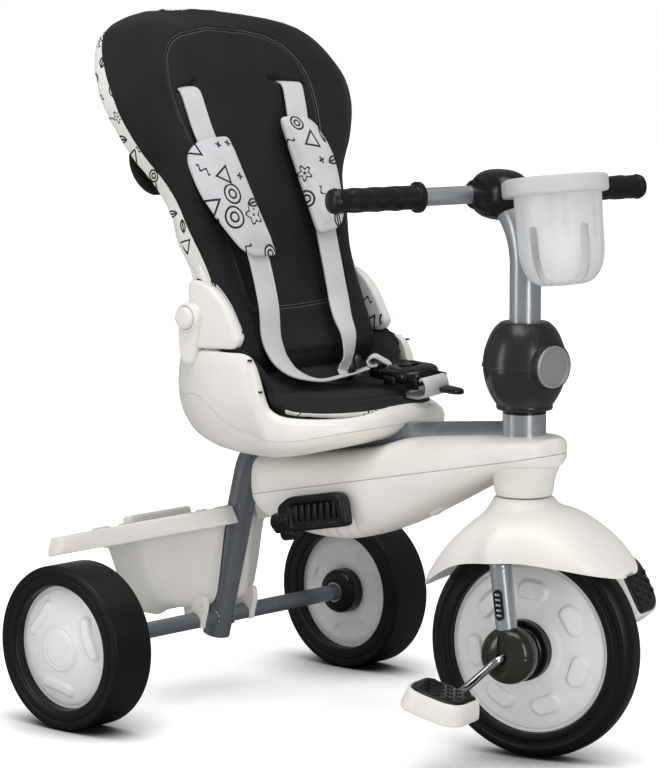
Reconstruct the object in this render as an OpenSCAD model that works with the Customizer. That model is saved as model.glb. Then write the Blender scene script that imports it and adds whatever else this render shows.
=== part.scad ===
// Toddler trike with a reclining harness seat, a clutch-steered front wheel,
// folding footrests and a tipping bin. Millimetres, +X forward, +Y left, +Z up.

/* [Rear wheels] */
// Radius of a rear tyre
rear_r = 84; // [74:1:94]
// Width of a rear tyre
rear_w = 51; // [44:1:58]
// Radius of the disc that a rear tyre is pressed on
rear_disc_r = 63; // [56:1:68]
// Depth of the disc behind the tyre's lip
rear_recess = 12; // [8:1:16]
// Distance between the inner faces of the rear tyres
rear_inside = 370; // [350:2:400]
// Radius of a rear hub
rear_hub_r = 24; // [20:1:28]
// Diameter of the rear axle rod
axle_d = 10; // [8:0.5:12]

/* [Front wheel] */
// Radius of the front tyre
front_r = 110; // [100:1:120]
// Width of the front tyre
front_w = 34; // [30:1:38]
// Radius of the front wheel's discs
front_disc_r = 85; // [78:1:92]
// Depth of a disc behind the tyre's lip
front_recess = 7; // [5:1:9]
// Radius of the front hub
front_hub_r = 29; // [26:1:31]
// Radius of the pedal circle
crank_r = 64; // [58:1:70]
// Diameter of the crank rod
crank_d = 8; // [7:0.5:9]
// Turn of the right crank arm from straight ahead
crank_turn = 222; // [0:1:359]

/* [Pedals] */
// Length of a pedal along its spindle
pedal_len = 56; // [50:1:62]
// Length of a pedal front to back
pedal_w = 64; // [56:1:70]
// Height of a pedal body
pedal_h = 21; // [18:1:24]
// Thickness of a pedal's tread
tread_t = 4; // [3:0.5:5]

/* [Frame] */
// Distance from the rear axle to the steering axis
steer_x = 411; // [390:1:440]
// Outside diameter of the main tube
tube_d = 28.6; // [25:0.2:32]
// Wall of the steel tubes
tube_wall = 1.5; // [1.2:0.1:2]
// Outside diameter of the axle cross tube
axle_tube_d = 17; // [15:0.5:19]
// Distance of the main tube's corner ahead of the axle
corner_x = 50; // [40:1:60]
// Height of the main tube's corner above the axle
corner_up = 195; // [185:1:200]
// Lean of the rear leg of the main tube
leg_lean = 14.8; // [10:0.2:20]
// Radius of the main tube's bend
bend_r = 55; // [45:1:65]
// Length of the main tube below the axle
tail_len = 20; // [14:1:24]
// Outside diameter of the head tube
head_d = 42.5; // [40:0.5:45]
// Length of the head tube
head_len = 78; // [74:1:84]

/* [Steering] */
// Turn of the front wheel to the left
fork_yaw = 12.3; // [-40:0.1:40]
// Turn of the handlebar to the left
bar_yaw = -17.3; // [-40:0.1:40]
// Distance of the front axle ahead of the steering axis
rake = 13.5; // [8:0.5:18]
// Distance of a fork leg from the wheel's middle
leg_out = 54; // [50:1:58]
// Diameter of a fork leg
leg_d = 21; // [18:0.5:23]
// Radius of a fork-end housing
fork_end_r = 28; // [25:1:30]
// Outside diameter of the steerer
steerer_d = 30; // [28:0.5:32]
// Half length of the mudguard
guard_half = 116; // [110:1:122]
// Half width of the mudguard beside the tyre
guard_side = 58; // [54:1:62]

/* [Handlebar] */
// Radius of the steering ball
ball_r = 41; // [39:0.5:44]
// Height of the steering ball
ball_h = 87; // [84:1:94]
// Diameter of the stem tube
stem_d = 30.6; // [28:0.2:33]
// Height of the straight part of the stem above the ball's foot
stem_up = 140; // [130:1:150]
// Distance of the handlebar behind the steering axis
bar_back = 65; // [60:1:70]
// Length of the handlebar over its grips
bar_len = 364; // [340:2:400]
// Diameter of the handlebar tube
bar_d = 18; // [16:0.5:20]
// Length of a grip
grip_len = 110; // [95:1:120]
// Diameter of a grip
grip_d = 24; // [22:0.5:26]
// Radius of the cup
cup_r = 43.5; // [40:0.5:46]
// Height of the cup below its rim
cup_h = 104; // [96:1:110]
// Tilt of the cup, bottom forward
cup_tilt = 8.5; // [0:0.5:12]

/* [Covers] */
// Half width of the body covers
cover_side = 52; // [48:1:56]
// Radius of the covers round the head tube
cover_head_r = 41.6; // [39:0.2:45]
// Wall of the moulded shells
wall = 3; // [2.5:0.1:4]

/* [Seat] */
// Half length of the seat base
seat_half = 140; // [132:1:146]
// Half width of the seat base
seat_side = 125; // [118:1:130]
// Distance of the seat base's middle ahead of the axle
seat_x = 130; // [124:1:136]
// Height of the seat base
seat_h = 108; // [100:1:116]
// Thickness of the seat base's rim
seat_rim = 11; // [9:0.5:13]
// Thickness of the seat pad
seat_pad_t = 17; // [14:1:20]

/* [Backrest] */
// Lean of the backrest
back_lean = 22.5; // [18:0.5:26]
// Length of the backrest above the seat bend
back_len = 375; // [350:1:400]
// Half width of the back pad at the head
back_side = 180; // [165:1:190]
// Thickness of the back pad
back_pad_t = 28; // [22:1:34]
// Thickness of the backrest shell
back_shell_t = 14; // [11:0.5:17]

/* [Harness] */
// Width of the webbing
web_w = 28; // [24:1:32]
// Thickness of the webbing
web_t = 2; // [1.5:0.1:2.5]
// Length of a shoulder pad
shoulder_len = 130; // [120:1:140]
// Width of a shoulder pad
shoulder_w = 76; // [66:1:82]
// Thickness of a shoulder pad
shoulder_t = 13; // [10:0.5:15]

/* [Bin and footrests] */
// Half width of the bin's rim at the rear
bin_side = 152; // [140:1:160]
// Length of the bin's tub
bin_len = 112; // [104:1:118]
// Height of the bin's tub
bin_h = 74; // [68:1:80]
// Length of a footrest
footrest_len = 108; // [100:1:114]
// Height of a folded footrest
footrest_h = 34; // [30:1:38]
// Thickness of a footrest
footrest_t = 13; // [11:0.5:15]

/* [Hidden] */
$fn = 48;

// Radial clearance of running and pressed fits
fit = 0.05;
// Clearance between neighbours that don't bear on each other
gap = 0.5;
// Overrun of cuts
over = 1;
// Distance from the rear axle to the middle of the whole length
length_mid = 215.4;
right = -1;
left = 1;

white = "#e4e1dc";
pale = "#d9dad8";
black = "#262626";
dark = "#3c3b39";
steel = "#868c96";
chrome = "#c9ccd0";
webbing = "#c4c5c6";
print_cloth = "#e8e6e0";

// Heights that follow from the wheels
axle_z = rear_r;
front_z = front_r;
crown_gap = 5;
crown_t = 13;
crown_z = 2 * front_r + crown_gap;
crown_boss_h = 19;
neck_z = crown_z + crown_t + crown_boss_h;
head_play = 0.4;
bush_lip = 3;
head_z = neck_z + head_play + bush_lip;
head_top = head_z + head_len;
ball_z = head_top + bush_lip + head_play;
ball_mid = ball_z + ball_h / 2;

// Main tube: a rear leg that leans forward, a bend, and a run up to the head tube
tube_r = tube_d / 2;
main_front_up = 56;
main_front_z = head_z + main_front_up;
corner_z = axle_z + corner_up;
run_rise = atan((main_front_z - corner_z) / (steer_x - corner_x));
run_len = norm([steer_x - corner_x, main_front_z - corner_z]);
leg_top = corner_up / cos(leg_lean);
bend_turn = 90 - leg_lean - run_rise;
bend_take = bend_r * tan(bend_turn / 2);
function run_z(x) = corner_z + (x - corner_x) * tan(run_rise);
leg_foot_x = corner_x - corner_up * tan(leg_lean);

// Functions and shapes that several parts share
function lerp(a, b, t) = a + (b - a) * t;
function power(v, e) = sign(v) * pow(abs(v), e);
function seg_at(t, tab, i = 0) =
    (i >= len(tab) - 2 || t < tab[i + 1][0]) ? i : seg_at(t, tab, i + 1);
function grade(tab, i) =
    let (a = max(i - 1, 0), b = min(i + 1, len(tab) - 1))
    (tab[b][1] - tab[a][1]) / (tab[b][0] - tab[a][0]);
// Smooth curve through a table of [place, value]
function curve(t, tab) =
    let (i = seg_at(t, tab), h = tab[i + 1][0] - tab[i][0], u = (t - tab[i][0]) / h,
         a = tab[i][1], d = tab[i + 1][1] - a,
         p = grade(tab, i) * h, q = grade(tab, i + 1) * h)
    a + u * p + u * u * (3 * d - 2 * p - q) + u * u * u * (p + q - 2 * d);
function bell(t, mid, spread) = exp(-pow((t - mid) / spread, 2));
function middle(ring) = [for (k = [0:2]) [for (p = ring) p[k]] * [for (p = ring) 1] / len(ring)];

// Closed skin through rings of equal point count
module loft(rings) {
    n = len(rings[0]);
    m = len(rings);
    sides = [for (j = [0:m - 2], i = [0:n - 1])
        let (a = j * n + i, b = j * n + (i + 1) % n)
        each [[a, a + n, b], [b, a + n, b + n]]];
    first = [for (i = [0:n - 1]) [m * n, i, (i + 1) % n]];
    last = [for (i = [0:n - 1]) [m * n + 1, (m - 1) * n + (i + 1) % n, (m - 1) * n + i]];
    points = concat([for (r = rings) each r], [middle(rings[0]), middle(rings[m - 1])]);
    polyhedron(points, concat(sides, first, last));
}

// Flat strap along a route, with its width along side and its thickness along up
module ribbon(route, side, up, w, t) {
    loft([for (p = route) [
        p - side * w / 2, p + side * w / 2,
        p + side * w / 2 + up * t, p - side * w / 2 + up * t]]);
}

module rod(p, q, r) {
    d = q - p;
    translate(p)
        rotate([0, acos(d[2] / norm(d)), atan2(d[1], d[0])])
            cylinder(h = norm(d), r = r);
}

// Plate with round ends along X, standing on z = 0
module oblong(length, width, height) {
    run = (length - width) / 2;
    translate([-run, -width / 2, 0]) cube([2 * run, width, height]);
    for (s = [-1, 1]) translate([s * run, 0, 0]) cylinder(h = height, d = width);
}

module block_on(size) translate([-size[0] / 2, -size[1] / 2, 0]) cube(size);

// Ring section with round corners, for a tyre
module tyre_section(inner, outer, width, corner) {
    mid = outer - corner;
    translate([inner, -width / 2]) square([mid - inner, width]);
    translate([inner, corner - width / 2]) square([outer - inner, width - 2 * corner]);
    for (s = [-1, 1]) translate([mid, s * (width / 2 - corner)]) circle(corner);
}

module from_axle() translate([-length_mid, 0, 0]) children();
module from_fork() from_axle() translate([steer_x, 0, 0]) rotate([0, 0, fork_yaw]) children();
module from_bar() from_axle() translate([steer_x, 0, 0]) rotate([0, 0, bar_yaw]) children();
// Turns a shape made along Z so that it points along Y
module along_y() rotate([-90, 0, 0]) children();

// Frame tubes
module tube_run(r) {
    translate([corner_x, 0, corner_z]) rotate([0, 90 - run_rise, 0])
        translate([0, 0, bend_take - over]) cylinder(h = run_len - bend_take + over, r = r);
}

module tube_leg(r, extra) {
    translate([corner_x, 0, corner_z]) rotate([0, leg_lean, 0]) mirror([0, 0, 1])
        translate([0, 0, bend_take - over])
            cylinder(h = leg_top + tail_len + extra - bend_take + over, r = r);
}

module tube_bend(r) {
    translate([corner_x, 0, corner_z]) rotate([0, leg_lean, 0])
        translate([bend_r, 0, -bend_take]) rotate([90, 0, 0]) rotate([0, 0, 180 - bend_turn])
            rotate_extrude(angle = bend_turn) translate([bend_r, 0]) circle(r - 2 * fit);
}

// Bores of the two straight lengths, which end short of the bend
module tube_bores() {
    bore_r = tube_r - tube_wall;
    start = bend_take + 2 * over;
    translate([corner_x, 0, corner_z]) rotate([0, 90 - run_rise, 0])
        translate([0, 0, start]) cylinder(h = run_len - start, r = bore_r);
    translate([corner_x, 0, corner_z]) rotate([0, leg_lean, 0]) mirror([0, 0, 1])
        translate([0, 0, start]) cylinder(h = leg_top + 2 * tail_len - start, r = bore_r);
}

module main_tube() {
    color(steel) from_axle() difference() {
        union() {
            tube_run(tube_r);
            tube_leg(tube_r, 0);
            tube_bend(tube_r);
        }
        tube_bores();
        translate([steer_x, 0, head_z - over]) cylinder(h = head_len + 2 * over, d = head_d);
        translate([0, -tube_d, axle_z]) along_y() cylinder(h = 2 * tube_d, d = axle_tube_d);
    }
}

module head_tube() {
    color(steel) from_axle() translate([steer_x, 0, head_z]) difference() {
        cylinder(h = head_len, d = head_d);
        translate([0, 0, -over]) cylinder(h = head_len + 2 * over, r = head_d / 2 - tube_wall);
    }
}

hub_room = 7;
axle_tube_len = rear_inside - 2 * hub_room;
axle_tube_bore = axle_d / 2 + fit;

module axle_tube() {
    color(steel) from_axle() translate([0, -axle_tube_len / 2, axle_z]) along_y() difference() {
        cylinder(h = axle_tube_len, d = axle_tube_d);
        translate([0, 0, -over]) cylinder(h = axle_tube_len + 2 * over, r = axle_tube_bore);
    }
}

axle_cap_t = 5;
axle_rod_len = rear_inside + 2 * (rear_w - rear_recess - axle_cap_t);

module axle_rod() {
    color(chrome) from_axle() translate([0, -axle_rod_len / 2, axle_z]) along_y()
        cylinder(h = axle_rod_len, d = axle_d);
}

module axle_caps() {
    cap_bore = axle_d / 2 + fit;
    color(chrome) from_axle() for (s = [right, left])
        translate([0, s * (axle_rod_len / 2 - axle_cap_t / 2), axle_z]) along_y()
            difference() {
                translate([0, 0, -axle_cap_t / 2]) cylinder(h = axle_cap_t, r = cap_bore + wall);
                translate([0, 0, -axle_cap_t]) cylinder(h = 2 * axle_cap_t, r = cap_bore);
            }
}

bush_len = 16;

module head_bush() {
    difference() {
        union() {
            cylinder(h = bush_len, r = head_d / 2 - tube_wall - fit);
            translate([0, 0, -bush_lip]) cylinder(h = bush_lip, d = head_d);
        }
        translate([0, 0, -bush_lip - over])
            cylinder(h = bush_len + bush_lip + 2 * over, r = steerer_d / 2 + fit);
    }
}

module head_bushes() {
    color(black) from_axle() translate([steer_x, 0, 0]) {
        translate([0, 0, head_z]) head_bush();
        translate([0, 0, head_top]) mirror([0, 0, 1]) head_bush();
    }
}

// Body covers: one hull of sections along X, cut on a sloping seam
cover_rear = 62;
cover_front = steer_x + cover_head_r;
cover_rear_round = 34;
cover_len = cover_front - cover_rear;
cover_top_share = [[0, 0.09], [0.14, 0.17], [0.3, 0.36], [0.43, 0.57], [0.55, 0.77],
    [0.71, 0.9], [0.89, 1], [1, 1]];
cover_low_share = [[0, 0.45], [0.03, 0.31], [0.1, 0.13], [0.18, 0.03], [0.35, 0],
    [0.48, 0.15], [0.61, 0.39], [0.74, 0.66], [0.83, 0.84], [0.9, 0.94], [1, 1]];
cover_top_drop = 66;
cover_low_rise = 98;
cover_top_gap = 21;
cover_deep = 126;
cover_top_z = head_top - cover_top_gap;
cover_low_z = cover_top_z - cover_deep;
cover_square = 3.2;
cover_steps = 30;
seam_rise = 11.3;
seam_drop = 22;
seam_head_z = cover_top_z - seam_drop;
collar_r = 29;
collar_drop = 30;

function cover_side_at(x) =
    let (side = lerp(cover_side, cover_head_r, pow(max(0, (x - cover_rear) / cover_len), 1.5)),
         nose = max(0, (x - steer_x) / cover_head_r),
         tail = max(0, 1 - (x - cover_rear) / cover_rear_round))
    side * sqrt(max(0, 1 - nose * nose)) * sqrt(max(0, 1 - 0.75 * tail * tail));
function cover_ring(x, inset) =
    let (share = (x - cover_rear) / cover_len,
         top = cover_top_z - cover_top_drop * (1 - curve(share, cover_top_share)) - inset,
         low = cover_low_z + cover_low_rise * curve(share, cover_low_share) + inset,
         side = max(inset, cover_side_at(x) - inset), mid = (top + low) / 2, n = 28)
    [for (i = [0:n - 1]) let (a = 360 * i / n) [x,
        side * power(cos(a), 2 / cover_square),
        mid + (top - low) / 2 * power(sin(a), 2 / cover_square)]];
module cover_body(inset) {
    x0 = cover_rear + inset;
    x1 = cover_front - inset;
    loft([for (i = [0:cover_steps])
        let (u = i / cover_steps, t = u < 0.8 ? u / 0.8 * 0.88 : 0.88 + 0.12 * sin(90 * (u - 0.8) / 0.2))
        cover_ring(lerp(x0, x1 - wall / 10, t), inset)]);
}

module above_seam(sign) {
    reach = 2 * cover_len;
    translate([steer_x, 0, seam_head_z]) rotate([0, -seam_rise, 0])
        translate([-reach / 2, -reach / 2, sign > 0 ? 0 : -reach]) cube([reach, reach, reach]);
}

module cover_cuts() {
    translate([steer_x, 0, 0]) cylinder(h = 2 * head_top, d = head_d + 2 * gap);
    tube_run(tube_r + gap);
    tube_bend(tube_r + gap);
    tube_leg(tube_r + gap, 0);
}

module cover_collar() {
    collar_top = cover_top_z - collar_drop;
    translate([steer_x, 0, neck_z + 2 * head_play])
        cylinder(h = collar_top - neck_z, r = collar_r);
}

module cover_upper() {
    color(white) from_axle() difference() {
        intersection() {
            cover_body(0);
            above_seam(1);
        }
        cover_body(wall);
        cover_cuts();
    }
}

// Footrests fold down about pins held in lugs on the lower cover
footrest_mid_x = 182;
footrest_pin_r = 3;
footrest_eye_r = 6;
footrest_y = cover_side + footrest_eye_r + gap;
footrest_drop = 40;
footrest_z = seam_head_z - (steer_x - footrest_mid_x) * tan(seam_rise) - footrest_drop;
lug_t = 6;
footrest_eye = footrest_len - 2 * lug_t - 4 * gap;

module at_footrest(side) {
    translate([footrest_mid_x, side * footrest_y, footrest_z]) rotate([0, -seam_rise, 0]) children();
}

module footrest_lugs(side) {
    lug_in = footrest_y - cover_side / 2;
    at_footrest(side) for (s = [-1, 1]) {
        translate([s * (footrest_len - lug_t) / 2, 0, 0]) rotate([0, 90, 0])
            translate([0, 0, -lug_t / 2]) cylinder(h = lug_t, r = footrest_eye_r);
        translate([s * (footrest_len - lug_t) / 2 - lug_t / 2, side > 0 ? -lug_in : 0, -footrest_eye_r])
            cube([lug_t, lug_in, 2 * footrest_eye_r]);
    }
    at_footrest(side) translate([-footrest_len / 2, 0, 0]) rotate([0, 90, 0])
        cylinder(h = footrest_len, r = footrest_pin_r);
}

module footrest_room(side) {
    at_footrest(side) translate([-footrest_len / 2 - gap, 0, 0]) rotate([0, 90, 0])
        cylinder(h = footrest_len + 2 * gap, r = footrest_eye_r + gap);
}

module footrest(side) {
    rib_count = 6;
    rib_t = 3;
    rim_t = 4;
    inner_h = footrest_h - footrest_eye_r - 2 * rim_t;
    pitch = (footrest_eye - 2 * rim_t) / rib_count;
    color(black) from_axle() at_footrest(side) difference() {
        union() {
            translate([-footrest_eye / 2, 0, 0]) rotate([0, 90, 0])
                cylinder(h = footrest_eye, r = footrest_eye_r);
            translate([-footrest_eye / 2, side > 0 ? -footrest_eye_r : footrest_eye_r - footrest_t, 0])
                cube([footrest_eye, footrest_t, footrest_h - footrest_eye_r]);
        }
        translate([-footrest_len, 0, 0]) rotate([0, 90, 0])
            cylinder(h = 2 * footrest_len, r = footrest_pin_r + fit);
        for (i = [0:rib_count - 1])
            translate([-footrest_eye / 2 + rim_t + i * pitch, side > 0 ? footrest_t - footrest_eye_r - rib_t
                : footrest_eye_r - footrest_t - over, footrest_eye_r + rim_t / 2])
                cube([pitch - rib_t, rib_t + over, inner_h]);
    }
}

module cover_lower() {
    color(white) from_axle() difference() {
        union() {
            difference() {
                union() {
                    intersection() {
                        cover_body(0);
                        above_seam(-1);
                    }
                    cover_collar();
                }
                for (s = [right, left]) footrest_room(s);
                cover_body(wall);
            }
            for (s = [right, left]) footrest_lugs(s);
        }
        cover_cuts();
        above_seam(1);
    }
}

// Seat base: a bucket with high cheeks at the rear and a low front
seat_sink = 14;
seat_low_z = run_z(seat_x) - seat_sink;
pan_t = 4;
pan_z = run_z(seat_x + seat_half) + tube_r + gap + pan_t;
seat_square = 2.3;
seat_rim_share = [[-1, 0.92], [-0.6, 0.98], [0, 1], [0.12, 0.98], [0.24, 0.8], [0.36, 0.55],
    [0.47, 0.42], [0.6, 0.4], [0.8, 0.5], [1, 0.6]];
seat_wall_share = [[0, 0.62], [0.04, 0.74], [0.13, 0.89], [0.3, 1], [0.65, 1], [0.92, 0.985],
    [1, 0.96]];
seat_front_lift = 18;
seat_n = 40;

function seat_ring(t, inset, n = seat_n) =
    [for (i = [0:n - 1])
        let (a = 360 * i / n, cx = power(cos(a), 2 / seat_square), cy = power(sin(a), 2 / seat_square),
             share = curve(t, seat_wall_share),
             low = seat_low_z + inset + seat_front_lift * pow(max(0, cx), 2),
             high = seat_low_z + seat_h * curve(cx, seat_rim_share))
        [seat_x + (seat_half - inset) * share * cx, (seat_side - inset) * share * cy, lerp(low, high, t)]];
module seat_body(inset, top) {
    steps_share = [0, 0.04, 0.1, 0.2, 0.32, 0.5, 0.7, 0.88, 0.96, 1];
    loft([for (t = steps_share) seat_ring(t * top, inset)]);
}

hinge_x = 72;
hinge_up = 34;
hinge_z = seat_low_z + seat_h + hinge_up;
hinge_pin_r = 6;
hinge_boss_r = 16;
post_in = 106;
post_out = 124;
post_x = 48;
deck_x = 62;
deck_drop = 12;
deck_z = seat_low_z + seat_h - deck_drop;
button_r = 11.5;
button_room = 0.4;
button_in = 114.5;
button_len = 19.5;
button_throw = 3;
socket_r = 14.2;
socket_wall = 4;
socket_len = 60;
socket_x = 26;

module at_socket() {
    translate([socket_x, 0, deck_z]) rotate([0, -back_lean, 0]) children();
}

module hinge_post(side) {
    post_low = deck_z - seat_rim;
    y0 = side > 0 ? post_in : -post_out;
    translate([post_x, y0, post_low]) cube([hinge_x - post_x, post_out - post_in, hinge_z - post_low]);
    translate([hinge_x, y0, hinge_z]) along_y() cylinder(h = post_out - post_in, r = hinge_boss_r);
}

module seat_base() {
    big = 2 * seat_half;
    color(white) from_axle() difference() {
        union() {
            difference() {
                seat_body(0, 1);
                // pocket for the pads, ahead of the rear deck
                intersection() {
                    translate([0, 0, seat_h]) loft([
                        [for (p = seat_ring(0.5, seat_rim)) [p[0], p[1], pan_z - seat_h]],
                        [for (p = seat_ring(0.5, seat_rim)) [p[0], p[1], pan_z + seat_h]]]);
                    translate([deck_x, -big / 2, pan_z]) cube([big, big, big]);
                }
                // hollow under the pan and the deck
                intersection() {
                    seat_body(wall, 1);
                    union() {
                        translate([-big, -big, 0]) cube([2 * big, 2 * big, pan_z - pan_t]);
                        translate([-big, -big, 0]) cube([big + deck_x - wall, 2 * big, deck_z - wall]);
                    }
                }
            }
            for (s = [right, left]) hinge_post(s);
            at_socket() translate([0, 0, -wall]) cylinder(h = wall, r = socket_r + 2 * socket_wall);
        }
        at_socket() translate([0, 0, -socket_len])
            cylinder(h = 2 * socket_len, r = socket_r + socket_wall + fit);
        at_socket() cylinder(h = socket_len, r = socket_r + 2 * socket_wall + gap);
        seat_slot();
        for (s = [right, left]) {
            translate([hinge_x, s * (post_in - over), hinge_z]) rotate([-90 * s, 0, 0])
                cylinder(h = post_out - post_in, r = hinge_pin_r + fit);
            translate([hinge_x, s * (button_in - button_throw - gap), hinge_z]) rotate([-90 * s, 0, 0])
                cylinder(h = button_len, r = button_r + button_room);
        }
        for (p = seat_screw_places) translate([p[0], p[1], pan_z - 2 * pan_t])
            cylinder(h = 3 * pan_t, r = screw_r + fit);
    }
}

// Slot in the bucket's floor for the main tube and the covers
module seat_slot() {
    slot_half = cover_side + pan_t;
    translate([-seat_half, -slot_half, 0]) cube([3 * seat_half, 2 * slot_half, pan_z - pan_t]);
}

bracket_rear = 45;
bracket_front = 75;
bracket_x0 = seat_x - bracket_rear;
bracket_x1 = seat_x + bracket_front;
bracket_half = 30;
bracket_t = 3;
screw_r = 2.5;
screw_head_r = 5;
screw_head_t = 3;
screw_inset = 9;
seat_screw_places = [for (x = [bracket_x0 + screw_inset, bracket_x1 - screw_inset], s = [right, left])
    [x, s * (bracket_half - screw_inset)]];

module seat_bracket() {
    bracket_top = pan_z - pan_t;
    rib_half = 8;
    color(steel) from_axle() difference() {
        union() {
            translate([bracket_x0, -bracket_half, bracket_top - bracket_t])
                cube([bracket_x1 - bracket_x0, 2 * bracket_half, bracket_t]);
            for (s = [-1, 1]) translate([bracket_x0, s * rib_half - bracket_t / 2, run_z(bracket_x1)])
                cube([bracket_x1 - bracket_x0, bracket_t, bracket_top - run_z(bracket_x1)]);
        }
        tube_run(tube_r);
        tube_bend(tube_r);
        for (p = seat_screw_places) translate([p[0], p[1], 0])
            cylinder(h = 2 * pan_z, r = screw_r + fit);
    }
}

module screws() {
    screw_low = pan_z - pan_t - bracket_t;
    color(chrome) from_axle() for (p = seat_screw_places) translate([p[0], p[1], screw_low]) {
        cylinder(h = bracket_t + pan_t, r = screw_r);
        translate([0, 0, -screw_head_t]) cylinder(h = screw_head_t, r = screw_head_r);
    }
}

module handle_socket() {
    lip_t = 4;
    color(dark) from_axle() at_socket() difference() {
        union() {
            translate([0, 0, wall - socket_len])
                cylinder(h = socket_len - wall, r = socket_r + socket_wall);
            cylinder(h = lip_t, r = socket_r + 2 * socket_wall);
        }
        translate([0, 0, 2 * wall - socket_len]) cylinder(h = 2 * socket_len, r = socket_r);
    }
}

// Seat pad: a crowned cushion with two sewn channels
pad_gap = 0.3;
seat_pad_x0 = 136;
seat_pad_inset = 6;
seat_pad_x1 = seat_x + seat_half - seat_rim - seat_pad_inset;
seat_pad_side = seat_side - seat_rim - seat_pad_inset + over;
// Share by which the cushions' sides are drawn in between their corners
pad_draw = 0.02;
channel_depth = 3;
channel_spread = 5;

// Half width of the seat's pocket at a distance along it
function pocket_side(x) = (seat_side - seat_rim)
    * pow(max(0, 1 - pow(abs((x - seat_x) / (seat_half - seat_rim)), seat_square)), 1 / seat_square);

module seat_pad() {
    n = 32;
    half = (seat_pad_x1 - seat_pad_x0) / 2;
    mid = seat_pad_x0 + half;
    levels = [[0.93, 0], [0.98, 0.2], [1, 0.45], [0.98, 0.68], [0.92, 0.84], [0.8, 0.93],
        [0.62, 0.975], [0.42, 0.99], [0.2, 1]];
    channels = [mid - half / 3, mid + half / 3];
    color(black) from_axle() loft([for (v = levels) [for (i = [0:n - 1])
        let (a = 360 * i / n,
             draw = 1 - pad_draw * pow(cos(2 * a), 2),
             x = mid + half * v[0] * draw * power(cos(a), 2 / 3.4),
             y0 = seat_pad_side * v[0] * draw * power(sin(a), 2 / 3.4),
             room = pocket_side(x) - 2 * gap,
             y = max(-room, min(room, y0)),
             dip = v[1] > 0.8 ? channel_depth * (bell(x, channels[0], channel_spread)
                 + bell(x, channels[1], channel_spread)) : 0)
        [x, y, pan_z + pad_gap + seat_pad_t * v[1] - dip]]]);
}

// Backrest frame: origin at the pad's back face at the seat bend, Z up the back, X out of its face
bend_x = 131;
bend_drop = 6;
bend_z = seat_low_z + seat_h - bend_drop;
pad_back = back_pad_t / cos(back_lean);
back_low = -26;
back_shares = [[0, 0.6], [0.15, 0.6], [0.29, 0.62], [0.41, 0.7], [0.52, 0.79], [0.6, 0.9], [0.68, 0.98],
    [0.74, 1], [0.79, 0.985], [0.85, 0.92], [0.9, 0.81], [0.945, 0.63], [0.975, 0.44], [0.993, 0.24],
    [1, 0.06]];
function back_half(s) = back_side * curve((s - back_low) / (back_len - back_low), back_shares);

module from_back() {
    from_axle() translate([bend_x - pad_back, 0, bend_z]) rotate([0, -back_lean, 0]) children();
}

// The face's sides curl forward and its head curls back
back_wing = 14;
back_curl = 24;
back_curl_at = 270;
function back_sway(y, s) = back_wing * pow(y / back_side, 2)
    - back_curl * pow(max(0, (s - back_curl_at) / (back_len - back_curl_at)), 2);

// Rings of a slab that follows the back's outline, from depth near to depth far
function back_ring(s, near, far, inset, n, square) =
    let (side = max(1, back_half(s) - inset))
    [for (i = [0:n - 1]) let (a = 360 * i / n, f = power(sin(a), 2 / square),
        y = -side * power(cos(a), 2 / square))
        [f > 0 ? near * f : far * f, y, s]];
function swayed(ring) = [for (p = ring) [p[0] + back_sway(p[1], p[2]), p[1], p[2]]];

back_panel_low = 40;
back_panel_high = 345;
back_fold = 4;
back_foot_spread = 12;
// Hollow of the face behind the child's seat, and the place and reach of it up the back
lumbar_deep = 11;
lumbar_mid = 70;
lumbar_reach = 62;

module back_pad() {
    n = 32;
    rows = 30;
    color(black) from_back() loft([for (j = [0:rows])
        let (u = j / rows, w = u < 0.85 ? u / 0.85 * 0.8 : 0.8 + 0.2 * sin(90 * (u - 0.85) / 0.15),
             s = lerp(back_low, back_len, w),
             foot = 1 - 0.35 * bell(s, back_low, back_foot_spread),
             folds = bell(s, back_fold, channel_spread) + bell(s, back_panel_low, channel_spread),
             panel = s > back_panel_low && s < back_panel_high ? channel_depth : 0)
        swayed([for (p = back_ring(s, (back_pad_t - channel_depth * folds) * foot, 0, 0, n, 2.8))
            let (edge = abs(p[1]) / back_half(s), seam = panel * bell(edge, 0.68, 0.09),
                 lumbar = lumbar_deep * bell(s, lumbar_mid, lumbar_reach) * bell(edge, 0, 0.55))
            [p[0] > 2 * channel_depth ? p[0] - seam - lumbar : p[0], p[1], p[2]]])]);
}

ear_low_z = seat_low_z + seat_h + pad_gap + over;
ear_in = 92;
ear_step = 105;
ear_out = 118;
ear_front = 134;
tongue_r = 20;

// Side view of an ear, as [forward share, height share]
ear_shares = [[0, 0], [0.9, 0.04], [1, 0.16], [0.93, 0.36], [0.72, 0.66], [0.5, 0.9], [0.34, 1], [0, 0.92]];
ear_h = 68;

module ear_face() {
    polygon([for (p = ear_shares) [lerp(hinge_x + gap, ear_front, p[0]), ear_low_z + ear_h * p[1]]]);
}

// Extrudes a side view from one distance to another across Y
module across(side, from, to) {
    translate([0, side > 0 ? to : -from, 0]) rotate([90, 0, 0]) linear_extrude(to - from) children();
}

module ear(side) {
    across(side, ear_in, ear_out) ear_face();
    across(side, ear_in, ear_step) translate([hinge_x, hinge_z]) circle(tongue_r);
}

// Room in an ear for the recline pin and for the boss of the hinge post
module ear_room(side) {
    across(side, ear_in - over, ear_out + over) translate([hinge_x, hinge_z]) circle(hinge_pin_r + fit);
    across(side, ear_step, ear_out + over) translate([hinge_x, hinge_z]) circle(hinge_boss_r + gap);
}

// Above the ears the shell is drawn in behind the pad
back_draw = 14;
back_draw_low = 118;
back_draw_run = 40;
function back_drawn(s) = back_draw * min(1, max(0, (s - back_draw_low) / back_draw_run));

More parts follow.
